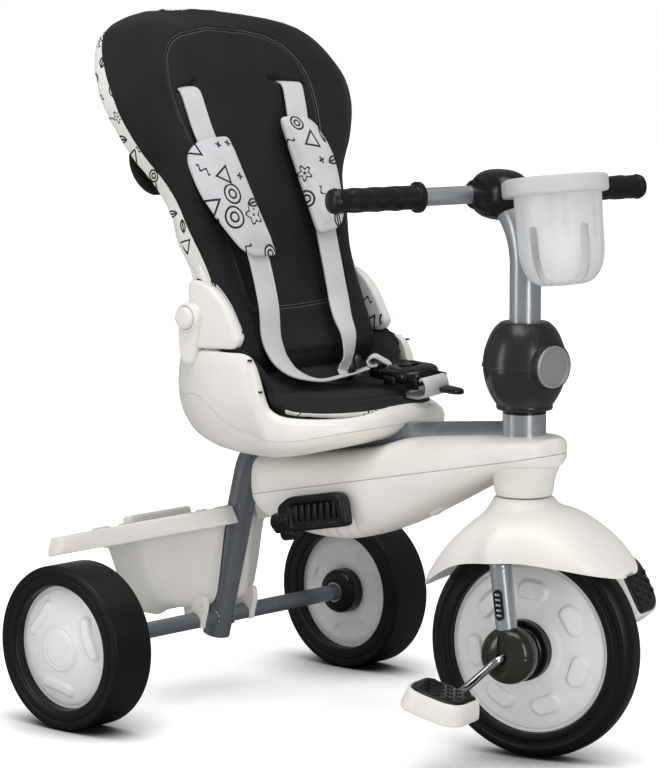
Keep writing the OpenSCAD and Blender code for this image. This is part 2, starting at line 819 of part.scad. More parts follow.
module back_plate(far, inset, low) {
    n = 28;
    rows = 20;
    from_back() loft([for (j = [0:rows])
        let (u = j / rows, w = u < 0.8 ? u / 0.8 * 0.8 : 0.8 + 0.2 * sin(90 * (u - 0.8) / 0.2),
             s = lerp(low, back_len - inset, w))
        swayed([for (p = back_ring(s, 0, far, inset + back_drawn(s), n, 3))
            [p[0] - 2 * pad_gap, p[1], p[2]]])]);
}

back_border = 2;

// Hollow in the rear of the shell, above the ears
module back_hollow() {
    n = 28;
    rows = 12;
    low = 130;
    high = back_len - 4 * back_border - wall;
    from_back() loft([for (j = [0:rows]) let (s = lerp(low, high, j / rows))
        swayed([for (p = back_ring(s, 0, 2 * back_shell_t, 2 * back_border + wall + back_drawn(s), n, 4))
            [p[0] - 2 * pad_gap - wall, p[1], p[2]]])]);
}

module back_shell() {
    color(white) difference() {
        union() {
            back_plate(back_shell_t, back_border, back_low / 2);
            from_axle() for (s = [right, left]) ear(s);
        }
        from_axle() for (s = [right, left]) ear_room(s);
        from_back() for (s = [right, left]) strap_slot(s);
        back_pad_room();
        back_hollow();
    }
}

// Keeps the ears clear of the pad's sides
module back_pad_room() {
    n = 28;
    rows = 4;
    top = 120;
    from_back() loft([for (j = [0:rows]) let (s = lerp(back_low - over, top, j / rows))
        swayed([for (p = back_ring(s, back_pad_t + 2 * gap, 0, -2 * gap, n, 3))
            [p[0] - pad_gap / 2, p[1], p[2]]])]);
}

module strap_slot(side) {
    slot_w = web_w + 2 * over;
    slot_t = 5;
    translate([-back_shell_t * 2, side * strap_top_y - slot_w / 2, strap_top - slot_t / 2])
        cube([back_shell_t * 3, slot_w, slot_t]);
}

spine_low = 175;
spine_high = 240;
spine_half = 150;
spine_t = 18;

spine_boss_r = 9;
spine_boss_y = 80;

module back_spine() {
    n = 24;
    rows = 8;
    spine_face = back_shell_t + 4 * pad_gap;
    boss_s = (spine_low + spine_high) / 2;
    boss_end = back_sway(spine_boss_y - spine_boss_r, boss_s) - 3 * pad_gap - wall;
    color(dark) from_back() {
        loft([for (j = [0:rows])
            let (u = 2 * j / rows - 1, s = lerp(spine_low, spine_high, j / rows),
                 swell = sqrt(1 - 0.9 * u * u))
            [for (i = [0:n - 1]) let (a = 360 * i / n, f = power(sin(a), 2 / 3))
                let (y = -spine_half * (0.8 + 0.2 * swell) * power(cos(a), 2 / 3))
                [-spine_face - (f > 0 ? 0 : -f * spine_t * swell) + back_sway(y, s), y, s]]]);
        // two bosses that stand on the floor of the shell's hollow
        for (side = [right, left]) translate([-spine_face, side * spine_boss_y, boss_s]) rotate([0, 90, 0])
            cylinder(h = spine_face + boss_end, r = spine_boss_r);
    }
}

module recline_pins() {
    color(chrome) from_axle() for (s = [right, left])
        translate([hinge_x, s * ear_in, hinge_z]) rotate([-90 * s, 0, 0])
            cylinder(h = button_in - button_throw - ear_in - 2 * gap, r = hinge_pin_r);
}

module recline_button(side) {
    dome = 3;
    color(white) from_axle() translate([hinge_x, side * button_in, hinge_z]) rotate([-90 * side, 0, 0]) {
        cylinder(h = button_len - dome, r = button_r);
        translate([0, 0, button_len - dome]) cylinder(h = dome, r1 = button_r, r2 = button_r - dome);
    }
}

// Harness
strap_top = 292;
strap_top_y = 66;
strap_gap = 1.5;
strap_lift = back_pad_t + strap_gap;
strap_low = 44;
strap_foot_y = [-68, 42];
strap_start = 278;

function strap_y(side, s) =
    lerp(side * strap_top_y, strap_foot_y[side > 0 ? 1 : 0], 1 - (s - strap_low) / (strap_top - strap_low));
// The straps hang further off the face towards their lower ends
strap_hang = 30;
function strap_off(s) = strap_lift
    + strap_hang * pow(max(0, 1 - (s - strap_low) / (strap_start - strap_low)), 1.4);
function on_strap(side, s) = [strap_off(s), strap_y(side, s), s];

module shoulder_straps() {
    steps = 8;
    color(webbing) from_back() for (side = [right, left])
        ribbon([for (i = [0:steps]) on_strap(side, lerp(strap_low, strap_start, i / steps))],
            [0, -1, 0], [1, 0, 0], web_w, web_t);
}

shoulder_low = 92;
// The left pad lies further up its strap
shoulder_shift = 16;

// Cushion standing off the back's face, sewn in at its rim
module shoulder_pad(side) {
    n = 24;
    pad_low = side > 0 ? shoulder_low + shoulder_shift : shoulder_low;
    mid = pad_low + shoulder_len / 2;
    levels = [[0.9, 0], [0.98, 0.25], [1, 0.5], [0.97, 0.72], [0.86, 0.9], [0.6, 0.98], [0.25, 1]];
    color(print_cloth) from_back() loft([for (v = levels) [for (i = [0:n - 1])
        let (a = 360 * i / n, waist = 1 - 0.06 * pow(cos(2 * a), 2),
             s = mid + shoulder_len / 2 * v[0] * power(sin(a), 2 / 3.2))
        [strap_off(s) + web_t + pad_gap + shoulder_t * v[1],
         strap_y(side, s) + shoulder_w / 2 * v[0] * waist * power(cos(a), 2 / 3.2), s]]]);
}

lap_lift = pan_z + pad_gap + seat_pad_t + over;
buckle_lift = 12;
buckle_at = [228, 40, lap_lift + buckle_lift];
buckle_yaw = -15.7;
buckle_size = [62, 46, 14];
buckle_crown = 2;
buckle_button_r = 10;
buckle_button_up = 1.5;
buckle_throw = 3;
lap_hips = [[150, -72], [154, 66]];
lap_sag = 10;
crotch_reach = 9;

module at_buckle() from_axle() translate(buckle_at) rotate([0, 0, buckle_yaw]) children();
// Place on the trike of a point told in the buckle's own frame
function from_buckle(p) = [buckle_at[0] + p[0] * cos(buckle_yaw) - p[1] * sin(buckle_yaw),
    buckle_at[1] + p[0] * sin(buckle_yaw) + p[1] * cos(buckle_yaw)];

// Each strap rises from the hip to the rear of the buckle and turns its width to it
module lap_strap(k) {
    steps = 10;
    w = web_w * 0.7;
    a = lap_hips[k];
    b = from_buckle([-buckle_size[0] / 2 - fit, (k - 0.5) * buckle_size[1] / 2]);
    d = (b - a) / norm(b - a);
    rise = buckle_lift + buckle_size[2] / 2;
    loft([for (i = [0:steps])
        let (u = i / steps, turn = lerp(atan2(d[1], d[0]), buckle_yaw, u * u),
             side = [-sin(turn), cos(turn), 0], up = [0, 0, web_t],
             p = [lerp(a[0], b[0], u), lerp(a[1], b[1], u),
                  lap_lift + lap_sag * pow(1 - u, 2) + rise * pow(u, 3)])
        [p - side * w / 2, p + side * w / 2, p + side * w / 2 + up, p - side * w / 2 + up]]);
}

// The crotch strap leaves the buckle's front and folds back under it on to the pad
module crotch_strap() {
    steps = 8;
    high = buckle_size[2] / 2;
    low = web_t - gap - buckle_lift;
    mid = (high + low) / 2;
    r = (high - low) / 2;
    front = buckle_size[0] / 2 + fit;
    route = concat([[front, high]],
        [for (i = [0:steps]) let (t = 90 - 180 * i / steps)
            [front + crotch_reach * cos(t) + fit, mid + r * sin(t)]],
        [[front - crotch_reach, low]]);
    loft([for (i = [0:len(route) - 1])
        let (q = route[min(i + 1, len(route) - 1)] - route[max(i - 1, 0)],
             h = [-q[1], q[0]] / norm(q) * web_t / 2, p = route[i], y = web_w / 2)
        [[p[0] - h[0], -y, p[1] - h[1] - web_t / 2], [p[0] - h[0], y, p[1] - h[1] - web_t / 2],
         [p[0] + h[0], y, p[1] + h[1] - web_t / 2], [p[0] + h[0], -y, p[1] + h[1] - web_t / 2]]]);
}

module lap_straps() {
    color(webbing) {
        from_axle() for (k = [0, 1]) lap_strap(k);
        at_buckle() crotch_strap();
    }
}

module buckle() {
    pocket_r = buckle_button_r + gap;
    color(black) at_buckle() difference() {
        union() {
            block_on(buckle_size);
            translate([0, 0, buckle_size[2]])
                block_on([buckle_size[0] * 0.8, buckle_size[1] * 0.8, buckle_crown]);
        }
        translate([0, 0, buckle_size[2] - buckle_throw - 2 * gap])
            cylinder(h = buckle_size[2], r = pocket_r);
    }
}

module buckle_button() {
    color(black) at_buckle() translate([0, 0, buckle_size[2] - gap])
        cylinder(h = buckle_throw + buckle_button_up, r = buckle_button_r);
}

// Fork
steerer_r = steerer_d / 2;
leg_r = leg_d / 2;
steerer_wall = 2;
steerer_short = 5;
steerer_top = ball_mid - steerer_short;
shoulder_drop = 24;
shoulder_z = 2 * front_r - shoulder_drop;
shoulder_u = 3;
crown_half = 26;
crown_side = 18;
leg_foot_up = 14;
leg_foot_back = 2;
leg_foot_z = front_z + leg_foot_up;

function leg_foot(side) = [rake - leg_foot_back, side * leg_out, leg_foot_z];
function leg_shoulder(side) = [shoulder_u, side * leg_out, shoulder_z];
function leg_head(side) = [0, side * crown_side, crown_z + crown_t / 2];

module leg_shape(side, r, extra) {
    rod(leg_foot(side) - [0, 0, extra], leg_shoulder(side), r);
    translate(leg_shoulder(side)) sphere(r + 3 * fit);
    rod(leg_shoulder(side), leg_head(side), r);
}

module steerer() {
    color(steel) from_fork() difference() {
        translate([0, 0, crown_z]) cylinder(h = steerer_top - crown_z, r = steerer_r);
        translate([0, 0, crown_z - over])
            cylinder(h = steerer_top - crown_z + 2 * over, r = steerer_r - steerer_wall);
    }
}

module fork_crown() {
    crown_depth = 40;
    color(steel) from_fork() difference() {
        union() {
            translate([0, 0, crown_z]) block_on([crown_depth, 2 * crown_half, crown_t]);
            translate([0, 0, crown_z]) cylinder(h = crown_t + crown_boss_h, r = crown_boss_r);
        }
        translate([0, 0, crown_z - over]) cylinder(h = 2 * crown_t + crown_boss_h, r = steerer_r + fit);
        for (s = [right, left]) rod(leg_shoulder(s), leg_head(s), leg_r + fit);
    }
}

crown_boss_r = 22;

module fork_leg(side) {
    color(steel) from_fork() difference() {
        leg_shape(side, leg_r, 0);
        translate([0, 0, crown_z - crown_t]) cylinder(h = 3 * crown_t, r = steerer_r + fit);
    }
}

insert_len = 30;
insert_w = 9;
insert_t = 2;

module leg_inserts() {
    window_count = 4;
    color(black) from_fork() for (s = [right, left]) {
        up = leg_shoulder(s) - leg_foot(s);
        place = leg_foot(s) + up * 0.5;
        translate(place + [0, s * (leg_r + fit), 0]) rotate([0, atan2(up[0], up[2]), 0])
            rotate([-90 * s, 0, 0]) rotate([0, 0, 90]) difference() {
                oblong(insert_len, insert_w, insert_t);
                for (i = [0:window_count - 1])
                    translate([(i - (window_count - 1) / 2) * insert_len / 6, 0, insert_t / 2])
                        block_on([insert_len / 10, insert_w / 2, insert_t]);
            }
    }
}

fork_end_half = 17;

module fork_end(side) {
    color(dark) from_fork() difference() {
        intersection() {
            translate([rake, side * leg_out, front_z]) sphere(fork_end_r);
            translate([rake, side * leg_out - fork_end_half, front_z]) along_y()
                cylinder(h = 2 * fork_end_half, r = 2 * fork_end_r);
        }
        translate([rake, side * leg_out - fork_end_half - over, front_z]) along_y()
            cylinder(h = 2 * (fork_end_half + over), r = crank_d / 2 + fit);
        rod(leg_foot(side), leg_shoulder(side), leg_r + fit);
    }
}

// Mudguard: arched sections along the wheel, with a ridge over each fork leg and a neck
guard_mid = 8;
guard_crest_share = [[-1, 0], [-0.84, 0.32], [-0.65, 0.6], [-0.4, 0.85], [-0.25, 0.93], [0.1, 0.95],
    [0.33, 0.92], [0.54, 0.8], [0.72, 0.65], [0.9, 0.44], [1, 0.27]];
guard_edge_share = [[-1, -0.05], [-0.53, 0.27], [-0.24, 0.35], [0.1, 0.39], [0.55, 0.35], [0.9, 0.27],
    [1, 0.23]];
guard_h = 91;
guard_drop = 2;
guard_flare = 8;
guard_low = neck_z - guard_h - guard_drop;
guard_ridge = 11;
guard_ridge_w = 18;
guard_t = 3;
guard_neck_h = 18;

function guard_side_at(t) = guard_side * pow(max(0, 1 - pow(abs(t), 2.6)), 0.5) + guard_flare
    + guard_ridge * bell(guard_mid + guard_half * t, shoulder_u, guard_ridge_w);
function guard_arch(t, inset, n) =
    let (side = guard_side_at(t) - inset, low = guard_low + guard_h * curve(t, guard_edge_share),
         high = guard_low + guard_h * curve(t, guard_crest_share) - inset)
    [for (i = [0:n]) let (a = 180 * i / n)
        [guard_mid + guard_half * t, side * cos(a),
         lerp(low, max(high, low + guard_t - inset), pow(sin(a), 0.8))]];

module mudguard() {
    n = 18;
    rows = 26;
    color(white) from_fork() difference() {
        union() {
            loft([for (j = [0:rows]) let (t = -cos(180 * j / rows), inner = guard_arch(t, guard_t, n))
                concat(guard_arch(t, 0, n), [for (i = [n:-1:0]) inner[i]])]);
            translate([0, 0, neck_z - guard_neck_h]) cylinder(h = guard_neck_h, r = collar_r);
        }
        translate([0, 0, crown_z]) cylinder(h = crown_t + 2 * crown_boss_h, r = crown_boss_r + fit);
        for (s = [right, left]) leg_shape(s, leg_r + gap, 0);
    }
}

// Front wheel, about the wheel's own middle
front_corner = 9;
disc_t = 6;
pad_count = 7;
pad_turn = -5.2;
pad_ring_r = 58;
disc_pad_len = 29;
disc_pad_w = 16;
disc_pad_t = 2.5;
front_hub_half = leg_out - fork_end_half - 2 * over;

module at_front() from_fork() translate([rake, 0, front_z]) children();

module front_tyre() {
    color(black) at_front() along_y() rotate_extrude($fn = 96)
        tyre_section(front_disc_r, front_r, front_w, front_corner);
}

module front_disc(side) {
    face = front_w / 2 - front_recess;
    color(pale) at_front() rotate([-90 * side, 0, 0]) difference() {
        union() {
            translate([0, 0, face - disc_t]) cylinder(h = disc_t, r = front_disc_r - fit, $fn = 96);
            for (i = [0:pad_count - 1]) rotate([0, 0, pad_turn + 360 * i / pad_count])
                translate([0, pad_ring_r, face - over])
                    oblong(disc_pad_len, disc_pad_w, disc_pad_t + over);
        }
        translate([0, 0, face - 2 * disc_t]) cylinder(h = 4 * disc_t, r = front_hub_r + fit);
    }
}

module front_hub() {
    color(black) at_front() translate([0, -front_hub_half, 0]) along_y() difference() {
        cylinder(h = 2 * front_hub_half, r = front_hub_r);
        translate([0, 0, -over]) cylinder(h = 2 * (front_hub_half + over), r = crank_d / 2 + fit);
    }
}

crank_out = leg_out + fork_end_half + crank_d / 2 + over;
crank_end = crank_out + pedal_len + 3 * over;
// Pitch of the right and the left pedal, toes down
pedal_pitch = [15, 62];
function crank_pin(side) = crank_r * (side < 0 ? 1 : -1) * [cos(crank_turn), 0, sin(crank_turn)];

module crank() {
    r = crank_d / 2;
    color(chrome) at_front() {
        rod([0, -crank_out, 0], [0, crank_out, 0], r);
        for (s = [right, left]) {
            elbow = [0, s * crank_out, 0];
            knee = crank_pin(s) + [0, s * crank_out, 0];
            translate(elbow) sphere(r + 3 * fit);
            rod(elbow, knee, r);
            translate(knee) sphere(r + 3 * fit);
            rod(knee, crank_pin(s) + [0, s * crank_end, 0], r);
        }
    }
}

pedal_start = crank_out + crank_d / 2 + over;
pedal_round = 24;
pedal_heel = 7;

module at_pedal(side) {
    at_front() translate(crank_pin(side)) rotate([0, pedal_pitch[side > 0 ? 1 : 0], 0]) children();
}

// Slab with a rounded outer end and nearly square inner corners
module pedal_slab(side, inset, low, high) {
    w = pedal_w - 2 * inset;
    l = pedal_len - 2 * inset;
    r = pedal_round;
    q = pedal_heel;
    h = high - low;
    scale_y = side > 0 ? 0 : 1;
    mirror([0, scale_y, 0]) translate([0, pedal_start + inset, low]) {
        translate([-w / 2 + r, l - 2 * r, 0]) cube([w - 2 * r, 2 * r, h]);
        translate([-w / 2 + q, 0, 0]) cube([w - 2 * q, l - r, h]);
        translate([-w / 2, q, 0]) cube([w, l - r - q, h]);
        for (i = [-1, 1]) {
            translate([i * (w / 2 - r), l - r, 0]) cylinder(h = h, r = r);
            translate([i * (w / 2 - q), q, 0]) cylinder(h = h, r = q);
        }
    }
}

module pedal(side) {
    color(white) at_pedal(side) difference() {
        pedal_slab(side, 0, -pedal_h / 2, pedal_h / 2);
        translate([0, side > 0 ? pedal_start - over : -pedal_start - pedal_len - over, 0]) along_y()
            cylinder(h = pedal_len + 2 * over, r = crank_d / 2 + fit);
    }
}

module pedal_tread(side) {
    stud_r = 3;
    stud_h = 1.5;
    color(black) at_pedal(side) {
        pedal_slab(side, tread_t / 2, pedal_h / 2, pedal_h / 2 + tread_t);
        for (i = [-1:1], j = [-1:1])
            translate([i * pedal_w / 4, side * (pedal_start + pedal_len / 2) + j * pedal_len / 4,
                pedal_h / 2 + tread_t - over]) cylinder(h = stud_h + over, r = stud_r);
    }
}

// Steering ball, stem and handlebar
ball_wall = 4;
ball_foot_r = 27;
ball_foot_h = 8;
clutch_r = 22.3;
clutch_face = 44;
clutch_back = 27;
clutch_up = 2;
clutch_room = 6;
flange_t = 5;
stem_r = stem_d / 2;
bar_r = bar_d / 2;
stem_bend_z = ball_z + stem_up;
bar_z = stem_bend_z + bar_back;
stem_turn = 56;

function ball_profile(r, h) =
    [for (i = [0:16]) let (a = -90 + 180 * i / 16) [r * power(cos(a), 0.9), h / 2 * sin(a)]];

module ball_shape(inset) {
    translate([0, 0, ball_mid]) rotate_extrude()
        polygon(ball_profile(ball_r - inset, ball_h - 2 * inset));
}

module clutch_socket() {
    translate([clutch_back - clutch_room, 0, ball_mid + clutch_up]) rotate([0, 90, 0])
        cylinder(h = ball_r, r = clutch_r + button_room);
}

module ball_upper() {
    color(dark) from_bar() difference() {
        ball_shape(0);
        difference() {
            ball_shape(ball_wall);
            translate([0, 0, ball_mid + ball_h / 4]) cylinder(h = ball_h, r = ball_r);
        }
        translate([-2 * ball_r, -2 * ball_r, ball_mid - 2 * ball_h])
            cube([4 * ball_r, 4 * ball_r, 2 * ball_h]);
        translate([0, 0, ball_mid]) cylinder(h = ball_h, r = stem_r + fit);
        clutch_socket();
    }
}

module ball_lower() {
    color(dark) from_bar() difference() {
        union() {
            ball_shape(0);
            translate([0, 0, ball_z]) cylinder(h = ball_foot_h, r = ball_foot_r);
        }
        difference() {
            ball_shape(ball_wall);
            translate([0, 0, ball_mid - ball_h / 4 - ball_h]) cylinder(h = ball_h, r = ball_r);
        }
        translate([-2 * ball_r, -2 * ball_r, ball_mid]) cube([4 * ball_r, 4 * ball_r, 2 * ball_h]);
        translate([0, 0, ball_z - ball_h]) cylinder(h = 2 * ball_h, r = steerer_r + fit);
        clutch_socket();
    }
}

module clutch_core() {
    flange_r = 19;
    plug_len = 24;
    flange_z = steerer_top + gap;
    color(dark) from_bar() {
        translate([0, 0, flange_z]) cylinder(h = flange_t, r = flange_r);
        translate([0, 0, flange_z - plug_len]) cylinder(h = plug_len, r = steerer_r - steerer_wall - fit);
        translate([0, 0, flange_z + flange_t]) cylinder(h = plug_len, r = stem_r - tube_wall - fit);
    }
}

module steer_button() {
    color(chrome) from_bar() translate([clutch_back, 0, ball_mid + clutch_up]) rotate([0, 90, 0])
        cylinder(h = clutch_face - clutch_back, r = clutch_r);
}

stem_foot = steerer_top + gap + flange_t;

module stem_shape(r, z0) {
    translate([0, 0, z0]) cylinder(h = stem_bend_z - z0, r = r);
    translate([-bar_back, 0, stem_bend_z]) rotate([90, 0, 0])
        rotate_extrude(angle = stem_turn) translate([bar_back, 0]) circle(r);
}

module stem() {
    color(steel) from_bar() difference() {
        stem_shape(stem_r, stem_foot);
        translate([0, 0, stem_foot - over]) cylinder(h = stem_bend_z - stem_foot, r = stem_r - tube_wall);
    }
}

grip_end = 3;

module bar() {
    color(steel) from_bar() translate([-bar_back, 0, bar_z]) difference() {
        rod([0, grip_end - bar_len / 2, 0], [0, bar_len / 2 - grip_end, 0], bar_r);
        rod([0, -bar_len, 0], [0, bar_len, 0], bar_r - tube_wall);
    }
}

clamp_side = 23;
clamp_rear = 26;
clamp_front = 50;
clamp_h = 48;

// Egg-shaped clamp: sections along the stem's direction
module clamp() {
    n = 28;
    rows = 14;
    span = clamp_rear + clamp_front;
    color(black) from_bar() difference() {
        translate([-bar_back, 0, bar_z]) loft([for (j = [0:rows])
            let (u = j / rows, x = -clamp_rear + span * (0.5 - 0.5 * cos(165 * u)),
                 v = (x - (clamp_front - clamp_rear) / 2) / (span / 2),
                 f = sqrt(max(0.02, 1 - pow(abs(v), 2.4))))
            [for (i = [0:n - 1]) let (a = 360 * i / n)
                [x, clamp_side * f * power(cos(a), 0.8), clamp_h / 2 * f * power(sin(a), 0.9)]]]);
        stem_shape(stem_r + fit, stem_foot);
        translate([-bar_back, 0, bar_z]) rod([0, -bar_len, 0], [0, bar_len, 0], bar_r + fit);
    }
}

grip_lip = 3.5;

module grips() {
    lip_t = 4;
    lip_d = grip_d + 2 * grip_lip;
    color(black) from_bar() translate([-bar_back, 0, bar_z]) for (s = [right, left])
        difference() {
            union() {
                rod([0, s * bar_len / 2, 0], [0, s * (bar_len / 2 - grip_len), 0], grip_d / 2);
                rod([0, s * (bar_len / 2 - grip_len + lip_t), 0], [0, s * (bar_len / 2 - grip_len), 0],
                    lip_d / 2);
            }
            rod([0, s * (bar_len / 2 - grip_end), 0], [0, 0, 0], bar_r + fit);
        }
}

// Cup holder: a slotted cup on a rim that hooks on the clamp's front
cup_forward = 117;
cup_rim_up = 25;
cup_rim_out = 5.5;
cup_rim_r = cup_r + cup_rim_out;
cup_rim_t = 17;
cup_wall = 2.5;
cup_slot_w = 9;
cup_slots = 5;
cup_round = 34;

module cup_profile(r, h) {
    straight = h - cup_round;
    polygon(concat([[0, 0], [r, 0]],
        [for (i = [0:8]) let (a = 90 * i / 8)
            [r * (0.3 + 0.7 * pow(cos(a), 0.7)), -straight - cup_round * sin(a)]],
        [[0, -h]]));
}

module cup_holder() {
    tongue_half = 28;
    tongue_lap = 6;
    tongue_back = cup_forward - clamp_front + tongue_lap;
    color(white, 0.8) from_bar() translate([cup_forward - bar_back, 0, bar_z + cup_rim_up])
        rotate([0, -cup_tilt, 0]) difference() {
            union() {
                rotate_extrude() cup_profile(cup_r, cup_h);
                translate([0, 0, -cup_rim_t]) cylinder(h = cup_rim_t, r = cup_rim_r);
                translate([-tongue_back, -tongue_half, -cup_rim_t])
                    cube([tongue_back, 2 * tongue_half, cup_rim_t]);
            }
            translate([0, 0, over]) rotate_extrude() cup_profile(cup_r - cup_wall, cup_h - cup_wall);
            for (i = [0:cup_slots - 1]) rotate([0, 0, 360 * i / cup_slots]) {
                translate([0, -cup_slot_w / 2, -cup_h - over]) cube([2 * cup_r, cup_slot_w, cup_h / 2]);
                translate([0, 0, -cup_h / 2 - over]) rotate([0, 90, 0])
                    cylinder(h = 2 * cup_r, d = cup_slot_w);
            }
            clamp_room();
        }
}

// The clamp's outline, taken out of the hook with a small clearance
module clamp_room() {
    rotate([0, cup_tilt, 0]) translate([-cup_forward, 0, -cup_rim_up])
        translate([-clamp_rear, -clamp_side - gap, -clamp_h])
            cube([clamp_rear + clamp_front + pad_gap, 2 * (clamp_side + gap), 2 * clamp_h]);
}

// Rear wheels, outward along the side that they stand on
rear_corner = 8;
rear_boss_r = 24;
rear_boss_t = 4;
rear_pads = 3;
rear_pad_turn = 50;
rear_pad_ring_r = 42;
rear_pad_len = 52;

module at_rear(side) {
    from_axle() translate([0, side * (rear_inside / 2), axle_z]) rotate([-90 * side, 0, 0]) children();
}

module rear_tyre(side) {
    color(black) at_rear(side) translate([0, 0, rear_w / 2]) rotate_extrude($fn = 96)
        tyre_section(rear_disc_r, rear_r, rear_w, rear_corner);
}

module rear_disc(side) {
    face = rear_w - rear_recess;
    back = rear_recess;
    color(pale) at_rear(side) difference() {
        union() {
            translate([0, 0, back]) cylinder(h = face - back, r = rear_disc_r - fit, $fn = 96);
            translate([0, 0, face])
                cylinder(h = rear_boss_t, r1 = rear_boss_r, r2 = rear_boss_r - rear_boss_t);
            for (i = [0:rear_pads - 1]) rotate([0, 0, rear_pad_turn + 360 * i / rear_pads])
                translate([0, rear_pad_ring_r, face - over])
                    oblong(rear_pad_len, disc_pad_w, disc_pad_t + over);
        }
        translate([0, 0, back - over]) cylinder(h = face - back - wall + over, r = rear_hub_r + fit);
        difference() {
            translate([0, 0, back + wall]) cylinder(h = face - back - 2 * wall, r = rear_disc_r - wall);
            translate([0, 0, back]) cylinder(h = face, r = rear_hub_r + wall);
        }
    }
}

module rear_hub(side) {
    hub_end = rear_w - rear_recess - wall - 2 * axle_cap_t;
    color(black) at_rear(side) difference() {
        translate([0, 0, -over]) cylinder(h = hub_end + over, r = rear_hub_r);
        translate([0, 0, -3 * over]) cylinder(h = 2 * rear_w, r = axle_d / 2 + fit);
    }
}

// Bin: a tub with a flared rim, hooked on the axle tube
bin_tub_side = 106;
bin_front_x = 22;
bin_up = 6;
bin_base_z = axle_z + axle_tube_d / 2 + bin_up;
bin_rim_rise = 14;
bin_rim_t = 19;
bin_rim_up = 18;
bin_rim_z = bin_base_z + bin_h + bin_rim_up;
bin_mid_x = bin_front_x - bin_len / 2;
hook_y = 37;
hook_t = 8;
hook_wall = 4;
bin_tub_share = [[0, 0.62], [0.06, 0.72], [0.2, 0.8], [1, 1]];

function bin_ring(share, z, inset, tilt) =
    [for (i = [0:31]) let (a = 360 * i / 32, cx = power(cos(a), 2 / 3.2), cy = power(sin(a), 2 / 3.2),
        x = bin_mid_x + (bin_len / 2 * share - inset) * cx)
        [x, (bin_tub_side * share - inset) * cy * (1 - 0.12 * cx), z + (x - bin_mid_x) * tan(tilt)]];
module bin_tub(inset, top) {
    loft([for (v = bin_tub_share)
        bin_ring(v[1], bin_base_z + inset + (bin_h + top) * v[0], inset, bin_rim_rise * v[0])]);
}

// Rim seen from above: wide at the rear, narrow at the tube
bin_rim_rear = 16;
bin_rim_front = 18;
module bin_rim(inset) {
    x0 = bin_front_x - bin_len - bin_rim_rear;
    x1 = bin_front_x + bin_rim_front;
    front_half = 24;
    ear = 34;
    polygon([[x0 + inset, -bin_side + inset], [x0 + inset, bin_side - inset], [x0 + ear, bin_side - inset],
        [x1 - inset, front_half - inset / 2], [x1 - inset, -front_half + inset / 2],
        [x0 + ear, -bin_side + inset]]);
}

module bin_hook(s) {
    hook_r = axle_tube_d / 2 + fit;
    translate([0, s * hook_y - hook_t / 2, axle_z]) difference() {
        union() {
            along_y() cylinder(h = hook_t, r = hook_r + hook_wall);
            translate([-hook_r - hook_wall, 0, 0])
                cube([2 * (hook_r + hook_wall), hook_t, bin_base_z - axle_z + wall]);
        }
        translate([0, -over, 0]) along_y() cylinder(h = hook_t + 2 * over, r = hook_r);
        translate([-hook_r, -over, -2 * hook_r]) cube([2 * hook_r, hook_t + 2 * over, 2 * hook_r]);
    }
}

module bin() {
    rim_at = [bin_mid_x, 0, bin_rim_z];
    color(white) from_axle() difference() {
        union() {
            bin_tub(0, 0);
            translate(rim_at) rotate([0, -bin_rim_rise, 0]) translate([-bin_mid_x, 0, 0]) difference() {
                translate([0, 0, -bin_rim_t]) linear_extrude(bin_rim_t) bin_rim(0);
                translate([0, 0, -bin_rim_t - wall]) linear_extrude(bin_rim_t) bin_rim(wall);
            }
            for (s = [right, left]) bin_hook(s);
        }
        bin_tub(wall, bin_h);
        tube_leg(tube_r + 2 * gap, 0);
        tube_bend(tube_r + 2 * gap);
        translate([corner_x, 0, corner_z]) rotate([0, leg_lean, 0])
            translate([0, -tube_r - 2 * gap, -2 * corner_up])
                cube([seat_half, tube_d + 4 * gap, 2 * corner_up]);
    }
}

main_tube();
head_tube();
axle_tube();
axle_rod();
axle_caps();
head_bushes();
cover_upper();
cover_lower();
screws();
seat_base();
seat_bracket();
seat_pad();
lap_straps();
buckle();
buckle_button();
handle_socket();
back_shell();
back_spine();
back_pad();
shoulder_straps();
shoulder_pad(right);  // shoulder_pad_right
shoulder_pad(left);  // shoulder_pad_left
recline_pins();
recline_button(right);  // recline_button_right
recline_button(left);  // recline_button_left
steerer();
fork_crown();
fork_leg(right);  // fork_leg_right
fork_leg(left);  // fork_leg_left
fork_end(right);  // fork_end_right
fork_end(left);  // fork_end_left
leg_inserts();
mudguard();
front_tyre();
front_disc(right);  // front_disc_right
front_disc(left);  // front_disc_left
front_hub();
crank();
pedal(right);  // pedal_right
pedal_tread(right);  // pedal_right_tread
pedal(left);  // pedal_left
pedal_tread(left);  // pedal_left_tread
ball_upper();
ball_lower();
clutch_core();
steer_button();
stem();
bar();
clamp();
grips();
cup_holder();
rear_tyre(right);  // rear_tyre_right
rear_disc(right);  // rear_disc_right
rear_hub(right);  // rear_hub_right
rear_tyre(left);  // rear_tyre_left
rear_disc(left);  // rear_disc_left
rear_hub(left);  // rear_hub_left
footrest(right);  // footrest_right
footrest(left);  // footrest_left
bin();
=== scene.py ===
from math import atan2, cos, exp, hypot, pi, radians, sin, sqrt

import bpy
from mathutils import Matrix, Vector


